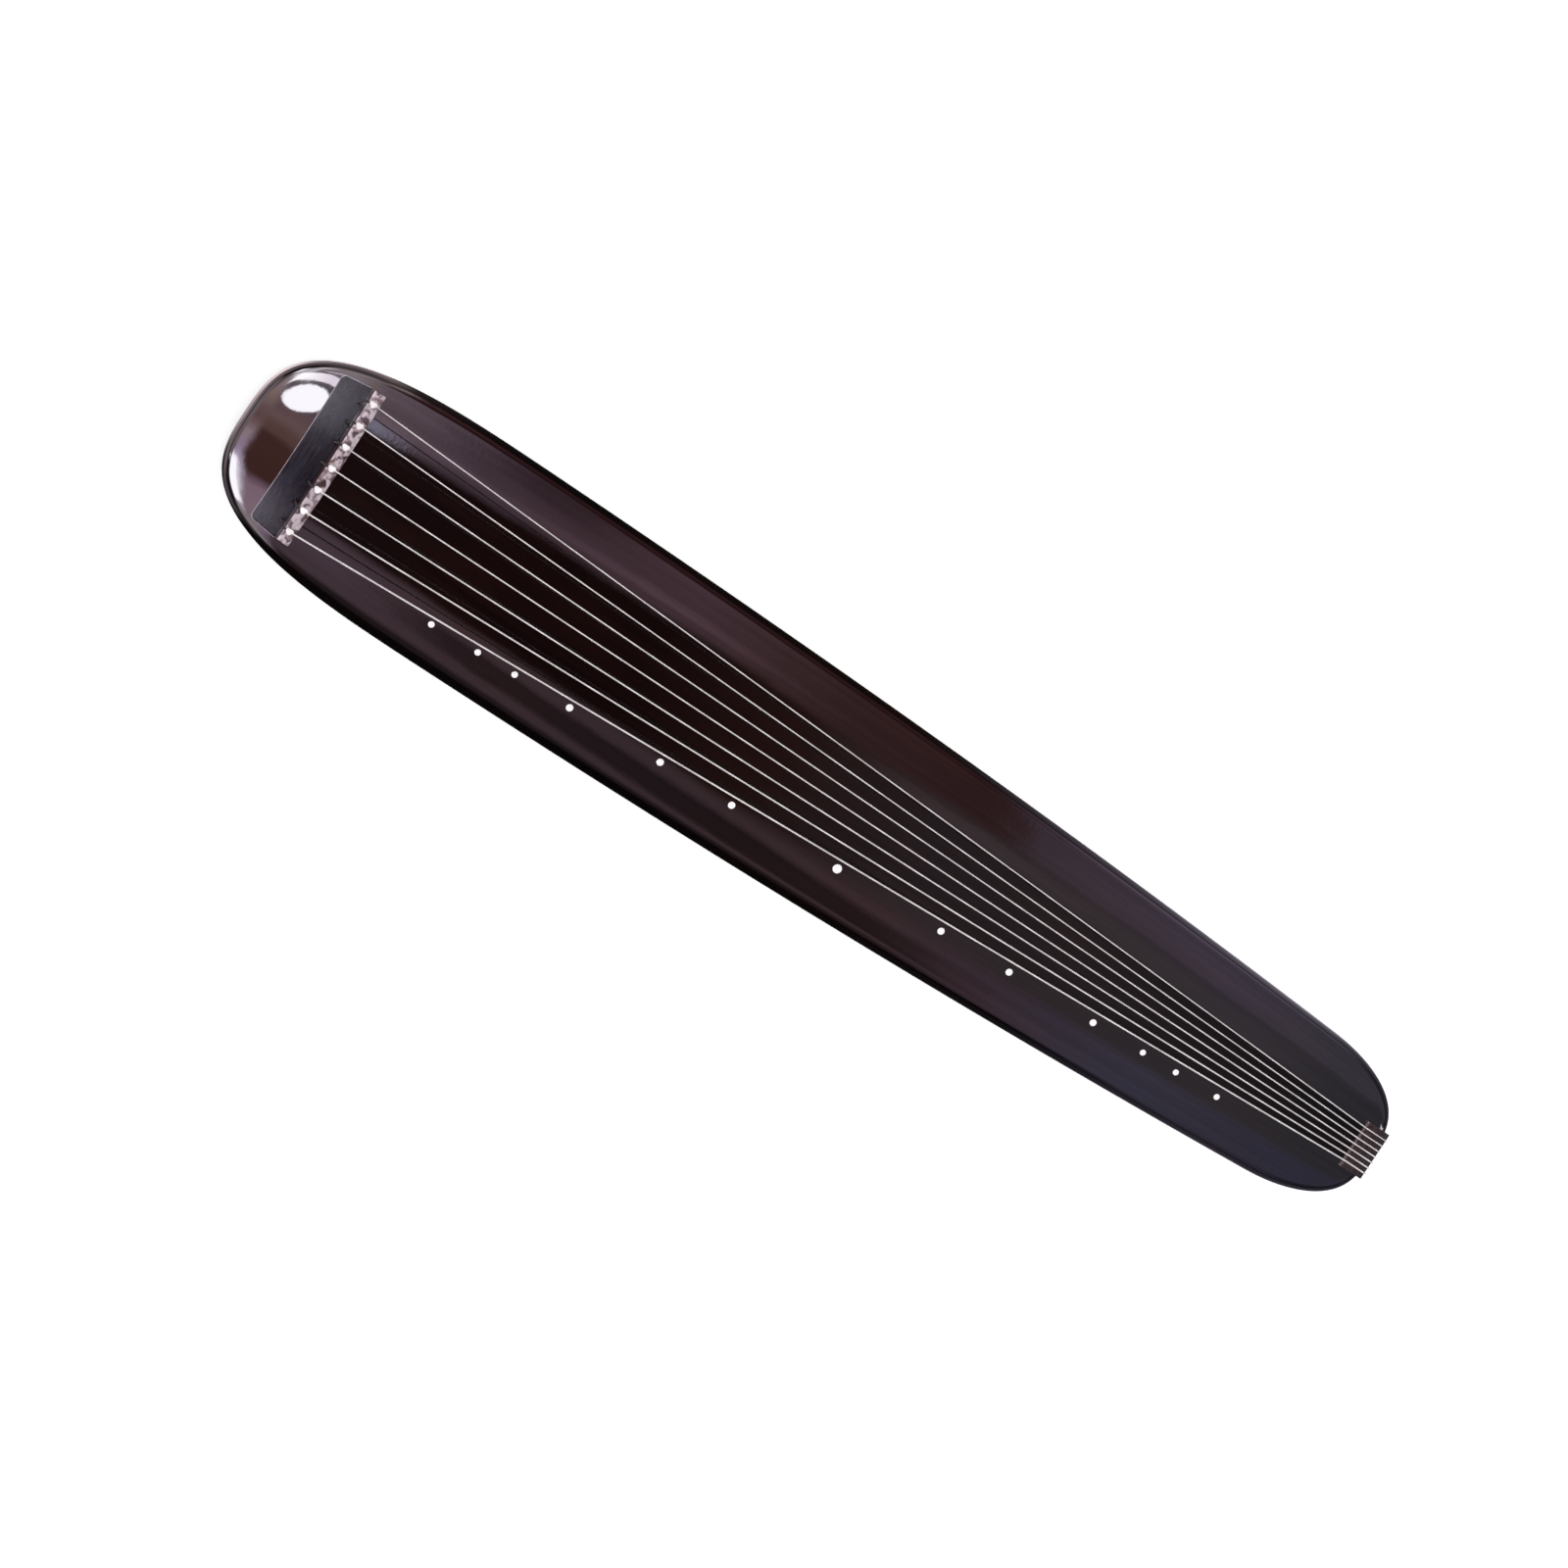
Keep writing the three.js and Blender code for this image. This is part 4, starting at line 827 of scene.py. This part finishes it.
# Peg guards: two oval blocks of rosewood below the ends of the peg pool, a little narrower at the table, which
# keep the pegs off it. Their sides are slightly hollowed and their lower edge is rounded over.
GUARD_PROFILE = [
    (0.74, 0), (0.775, 0.15), (0.797, 0.7), (0.805, 1.6), (0.815, 4), (0.838, 9), (0.866, 15), (0.905, 21),
    (0.955, 26), (0.99, 28.6), (1, 29.6), (1, 31),
]


def middle(node):
    """Middle of a node's box in plan, at the height of the table."""
    low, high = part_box(node)
    return Vector(((low.x + high.x) / 2, (low.y + high.y) / 2, 0))


def turned(name, centre, profile, sides, wide=1, deep=1):
    """Rosewood piece about an upright axis, from (radius, height) pairs; wide and deep draw its circles to ovals."""
    turn = [2 * math.pi * side / sides for side in range(sides)]
    rings = []
    for radius, height in profile:
        ring = [Vector((wide * radius * math.cos(a), deep * radius * math.sin(a), height)) * MM for a in turn]
        rings.append(([centre + point for point in ring], 0))
    return skinned(name, rings, dark_rosewood)


for name in ("inlay", "player"):
    low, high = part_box(f"peg_guard_{name}_side")
    guard = turned(f"peg_guard_{name}", middle(f"peg_guard_{name}_side"), GUARD_PROFILE, 64,
                   (high.x - low.x) / 2 / MM, (high.y - low.y) / 2 / MM)
    smooth_over(guard, 40)
    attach(guard, "root")
    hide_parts(f"peg_guard_{name}_side")

# Feet: two turned rosewood legs near the middle of the body. Each has a flared base, a waist that the strings are
# wound round, a collar against the bottom board and a tenon up through it.
FOOT_PROFILE = [
    (0.5, 0), (11.9, 0), (12.6, 0.25), (13.2, 1.1), (13.5, 2.4), (13.4, 3.4), (12.7, 4.6), (11.4, 6.1), (10.4, 7.4),
    (10, 8.6), (10, 9.6), (10, 28.6), (10.2, 28.75), (13.4, 28.8), (13.9, 29.1), (14, 29.9), (13.9, 30.7), (13.5, 31),
    (7, 31), (7, 48), (6.4, 49), (0.5, 49),
]
FOOT_WAIST, COLLAR_Z = 10, 28.8
feet = {}
for name in ("inlay", "player"):
    feet[name] = middle(f"foot_{name}_side")
    foot = turned(f"foot_{name}", feet[name], FOOT_PROFILE, 56)
    smooth_over(foot, 32)
    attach(foot, "root")
    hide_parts(f"foot_{name}_side")

# Strings: seven steel strings wound with pale nylon, thickest outside. Each is tied in a small knot on the bridge,
# runs over the tail nut, round the tail and along the underside, and ends wound round one of the feet.
KNOT_PLACE, KNOT_HEIGHT = BRIDGE_START + 4.9, 1.8
KNOT_REACH, KNOT_THREAD = (2.6, 1.9, 0.55), 1.25
OFF_BRIDGE, OFF_NUT, OFF_NECK = 0.3, 0.2, 0.4
WRAP_PITCH, FOOT_TURNS, FOOT_STEPS, TURN_GAP = 0.42, 1.75, 48, 0.45


def way_along(tree, points, spacing=None):
    """Curve through a path's points with the length along it stored on them, and that length."""
    curve = put(tree, "GeometryNodeMeshToCurve", {0: points})
    if spacing:
        curve = put(tree, "GeometryNodeResampleCurve", {0: curve, "Length": spacing}, mode="LENGTH")
    run = add_node(tree, "GeometryNodeSplineParameter").outputs["Length"]
    return put(tree, "GeometryNodeStoreNamedAttribute", {
        "Geometry": curve, "Name": "along", "Value": run}, data_type="FLOAT", domain="POINT"), run


def skin(tree, way, sides, radius):
    section = put(tree, "GeometryNodeCurvePrimitiveCircle", {"Resolution": sides, "Radius": radius})
    return put(tree, "GeometryNodeCurveToMesh", {"Curve": way, "Profile Curve": section, "Fill Caps": True})


string_tree, given, result = new_tree("string_along_its_way", Material="Material", Radius="Float", Sides="Int")
way, _ = way_along(string_tree, given["Geometry"])
finish_tree(string_tree, given, result, skin(string_tree, way, given["Sides"], given["Radius"]))


def path_piece(name, path, closed=False):
    """Bare edges through the points of a path; a tree gives them their thickness."""
    edges = [(step, step + 1) for step in range(len(path) - 1)]
    if closed:
        edges.append((len(path) - 1, 0))
    mesh = bpy.data.meshes.new(name)
    mesh.from_pydata(path, edges, [])
    return new_object(name, mesh)


def rounded(corners, radius, steps):
    """Route through corners, each rounded off by an arc."""
    points = [corners[0]]
    for before, corner, after in zip(corners, corners[1:], corners[2:]):
        back, onward = (before - corner).normalized(), (after - corner).normalized()
        bend = math.pi - back.angle(onward)
        axis = onward.cross(back).normalized()
        centre = corner + (back + onward).normalized() * radius * MM / math.cos(bend / 2)
        start = corner + back * radius * MM * math.tan(bend / 2) - centre
        points += [centre + Matrix.Rotation(bend * step / steps, 3, axis) @ start for step in range(steps + 1)]
    return points + [corners[-1]]


def turns_round(centre, radius, start, sense, turns, drop, top, steps, tip):
    """Winding round an upright axis that comes down by the drop at each turn, with a straight tip."""
    points = []
    for step in range(round(turns * steps) + 1):
        angle = start + sense * 2 * math.pi * step / steps
        height = top - drop * step / steps
        points.append(centre + Vector((radius * math.cos(angle), radius * math.sin(angle), height)) * MM)
    return points + [points[-1] + (points[-1] - points[-2]).normalized() * tip * MM]


def knot_path(centre, half_x, half_y, half_z, steps=60):
    points = []
    for step in range(steps):
        t = 2 * math.pi * step / steps
        x, y = math.sin(t) + 2 * math.sin(2 * t), math.cos(t) - 2 * math.cos(2 * t)
        points.append(centre + Vector((half_x / 3 * x, half_y / 3 * y, -half_z * math.sin(3 * t))) * MM)
    return points


def wound_thread(name, dark, light):
    """Smooth thread wound closely round a core, its turns following the length along the string."""
    made, tree = new_material(name)
    run = add_node(tree, "ShaderNodeAttribute", attribute_name="along").outputs["Fac"]
    wraps = calc(tree, "SINE", calc(tree, "MULTIPLY", run, 2 * math.pi / (WRAP_PITCH * MM)))
    wear = noise(tree, place_on(tree), 60, 3)
    color = ramp(tree, calc(tree, "MULTIPLY_ADD", wraps, 0.12, wear), [(0.34, dark), (0.66, light)])
    dress(tree, color, calc(tree, "MULTIPLY_ADD", wear, 0.2, 0.22), wraps, 0.35, 0.00005)
    return made


nylon = wound_thread("nylon_wound_string", (0.5, 0.47, 0.465), (0.76, 0.725, 0.72))
white_nylon = wound_thread("white_knot", (0.8, 0.76, 0.76), (0.93, 0.9, 0.9))
free_waist = dict.fromkeys(feet, COLLAR_Z - TURN_GAP)
for index, diameter in enumerate(DIAMETERS):
    side, tail_side, radius = string_side(index), string_side(index, TAIL_SPAN), diameter / 2
    foot_name, sense = ("inlay", 1) if index < 4 else ("player", -1)
    lift = OFF_NUT + radius
    knot_centre = spot(KNOT_PLACE, side, bridge_top(side) + OFF_BRIDGE + KNOT_HEIGHT)
    lower_turn = spot(TAIL_END + lift, tail_side, UNDER_LOW - lift)
    centre, wind_radius = feet[foot_name], FOOT_WAIST + OFF_NECK + radius
    away = (lower_turn - centre).xy
    start = math.atan2(away.y, away.x) + sense * math.acos(wind_radius * MM / away.length)
    drop = diameter + TURN_GAP
    turns = turns_round(centre, wind_radius, start, sense, FOOT_TURNS, drop, free_waist[foot_name] - radius,
                        FOOT_STEPS, diameter)
    free_waist[foot_name] -= diameter + drop * FOOT_TURNS + TURN_GAP
    crest, upper_turn = (spot(place, tail_side, NUT_TOP + lift) for place in (NUT_CREST, TAIL_END + lift))
    over_tail = rounded([crest, upper_turn, lower_turn, turns[0]], NUT_RADIUS + lift, 12)
    string = path_piece(f"string_{index + 1}_run", [
        knot_centre - Vector((0, 0, 0.4 * MM)), spot(BRIDGE_END - 0.8, side, bridge_top(side) + lift),
        *over_tail[:-1], *turns])
    use_tree(string, string_tree, Material=nylon, Radius=radius * MM, Sides=14)
    knot = path_piece(f"string_{index + 1}_knot", knot_path(knot_centre, *KNOT_REACH), closed=True)
    use_tree(knot, string_tree, Material=white_nylon, Radius=KNOT_THREAD * MM, Sides=12)
    for part in (string, knot):
        settle(part)
        smooth_over(part, 50)
        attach(part, "root")
    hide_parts(f"string_{index + 1}")

# Peg cords: seven short cords of three-strand twisted silk. Each goes from its string's knot over the head side of
# the bridge and down a hole through the apron, the head and the peg plate to its peg.
CORD_RADIUS, STRAND_PITCH, CORD_SPACING, CORD_END = 1, 4.2, 0.4, 39
cord_tree, given, result = new_tree("twisted_silk_cord", Material="Material")
way, run = way_along(cord_tree, given["Geometry"], CORD_SPACING * MM)
normal = put(cord_tree, "GeometryNodeInputNormal")
tangent = put(cord_tree, "GeometryNodeInputTangent")
across = vector_math(cord_tree, "CROSS_PRODUCT", {0: tangent, 1: normal})
twist = calc(cord_tree, "MULTIPLY", calc(cord_tree, "DIVIDE", run, STRAND_PITCH * MM), 2 * math.pi)
strands = cord_tree.nodes.new("GeometryNodeJoinGeometry")
for strand in range(3):
    angle = calc(cord_tree, "ADD", twist, 2 * math.pi * strand / 3)
    shifts = []
    for axis, wave in ((normal, "COSINE"), (across, "SINE")):
        reach = calc(cord_tree, "MULTIPLY", calc(cord_tree, wave, angle), CORD_RADIUS / 2 * MM)
        shifts.append(vector_math(cord_tree, "SCALE", {0: axis, "Scale": reach}))
    offset = vector_math(cord_tree, "ADD", dict(enumerate(shifts)))
    moved = put(cord_tree, "GeometryNodeSetPosition", {"Geometry": way, "Offset": offset})
    cord_tree.links.new(skin(cord_tree, moved, 8, CORD_RADIUS / 2 * MM), strands.inputs[0])
finish_tree(cord_tree, given, result, strands.outputs[0])

silk, silk_tree = new_material("twisted_silk", Sheen_Weight=0.15, Specular_IOR_Level=0.25)
fibres = noise(silk_tree, place_on(silk_tree), 1500, 3)
dress(silk_tree, ramp(silk_tree, fibres, [(0.34, (0.006, 0.004, 0.005)), (0.66, (0.026, 0.019, 0.019))]),
      calc(silk_tree, "MULTIPLY_ADD", fibres, 0.2, 0.45), fibres, 0.4, 0.0001)


def surface_height(place, side):
    """Height of the soundboard at a place, by the same rule as its arch."""
    along = (place - BRIDGE_END) / (BOARD_LENGTH - BRIDGE_END)
    crown = CROWN_AT_BRIDGE + (CROWN_AT_TAIL - CROWN_AT_BRIDGE) * along + 4 * BOW * along * (1 - along)
    drop = HEAD_DROP * max(0, 1 - place / BRIDGE_END) ** 2
    depth = ARCH_AT_HEAD + (ARCH_AT_TAIL - ARCH_AT_HEAD) * place / BOARD_LENGTH
    return JOINT_Z + crown - drop - depth * (side / half_width(place)) ** 2


def twisted(name, path, body, node):
    cord = path_piece(name, path)
    use_tree(cord, cord_tree, Material=silk)
    settle(cord)
    smooth_over(cord, 60)
    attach(cord, body)
    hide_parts(node)


for index in range(STRINGS):
    side, peg = string_side(index), middle(f"tuning_peg_{index + 1}")
    peg_place, peg_row_side = peg.x / MM - HEAD_TIP, peg.y / MM
    height = bridge_top(side) + OFF_BRIDGE + CORD_RADIUS
    route = rounded([
        spot(KNOT_PLACE - 3.6, side, height), spot(BRIDGE_START - 1.8, side, height),
        spot(peg_place, peg_row_side, surface_height(peg_place, peg_row_side) + APRON_PROUD + 2),
        spot(peg_place, peg_row_side, CORD_END),
    ], 2, 8)
    twisted(f"cord_{index + 1}", route, "root", f"peg_cord_{index + 1}")

# Tuning pegs: seven rosewood pegs, turned with a round head, a neck for the cord and a long grip, and bored from
# the top to a hole in the neck. The silk comes down the bore, out of that hole and round the neck.
PEG_PROFILE = [
    (0.4, -35.7), (2.8, -35.7), (3.9, -35.3), (5.2, -34.4), (6.2, -33.2), (6.6, -32), (6.62, -30.5), (6.5, -28),
    (6.3, -24.2), (6.05, -23.9), (6.05, -23.5), (6.25, -23.2), (6, -18.4), (5.85, -15.9), (5.6, -15.2), (4.95, -14.6),
    (4.8, -14.2), (4.8, -6.3), (5, -5.95), (6.5, -5.6), (7.05, -5.1), (7.2, -4.5), (7.2, -3.5), (7, -3.2),
    (7, -2.9), (7.2, -2.6), (7.2, -1.3), (7, -0.5), (6.4, 0), (3, 0), (2.5, -0.5), (2.5, -12), (0.4, -12),
]
PEG_NECK, HOLE_DEPTH, HOLE_RADIUS = 4.8, 8.2, 1.5
COIL_TURNS, COIL_STEPS, COIL_GAP, COIL_START = 1.5, 36, 0.5, 1 / 12
for index in range(STRINGS):
    body = f"peg_{index + 1}"
    top = middle(f"tuning_{body}")
    top.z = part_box(f"tuning_{body}")[1].z
    peg = turned(f"{body}_turned", top, PEG_PROFILE, 40)
    hole_start, hole_end = (top + Vector((reach, 0, -HOLE_DEPTH)) * MM for reach in (0.5, PEG_NECK + 2))
    carve(peg, [rod("side_hole", hole_start, hole_end, HOLE_RADIUS, 20)])
    smooth_over(peg, 32)
    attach(peg, body)
    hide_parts(f"tuning_peg_{index + 1}")
    coil_radius, drop = PEG_NECK + OFF_NECK + CORD_RADIUS, 2 * CORD_RADIUS + COIL_GAP
    coil = turns_round(top, coil_radius, 2 * math.pi * COIL_START, 1, COIL_TURNS, drop,
                       -HOLE_DEPTH - drop * COIL_START, COIL_STEPS, 2 * CORD_RADIUS)
    inside = rounded([
        top.copy(), top + Vector((0, 0, -HOLE_DEPTH)) * MM, top + Vector((coil_radius, 0, -HOLE_DEPTH)) * MM, coil[0],
    ], 1.5, 8)
    twisted(f"coil_{index + 1}", [*inside[:-1], *coil[1:]], body, f"peg_winding_{index + 1}")
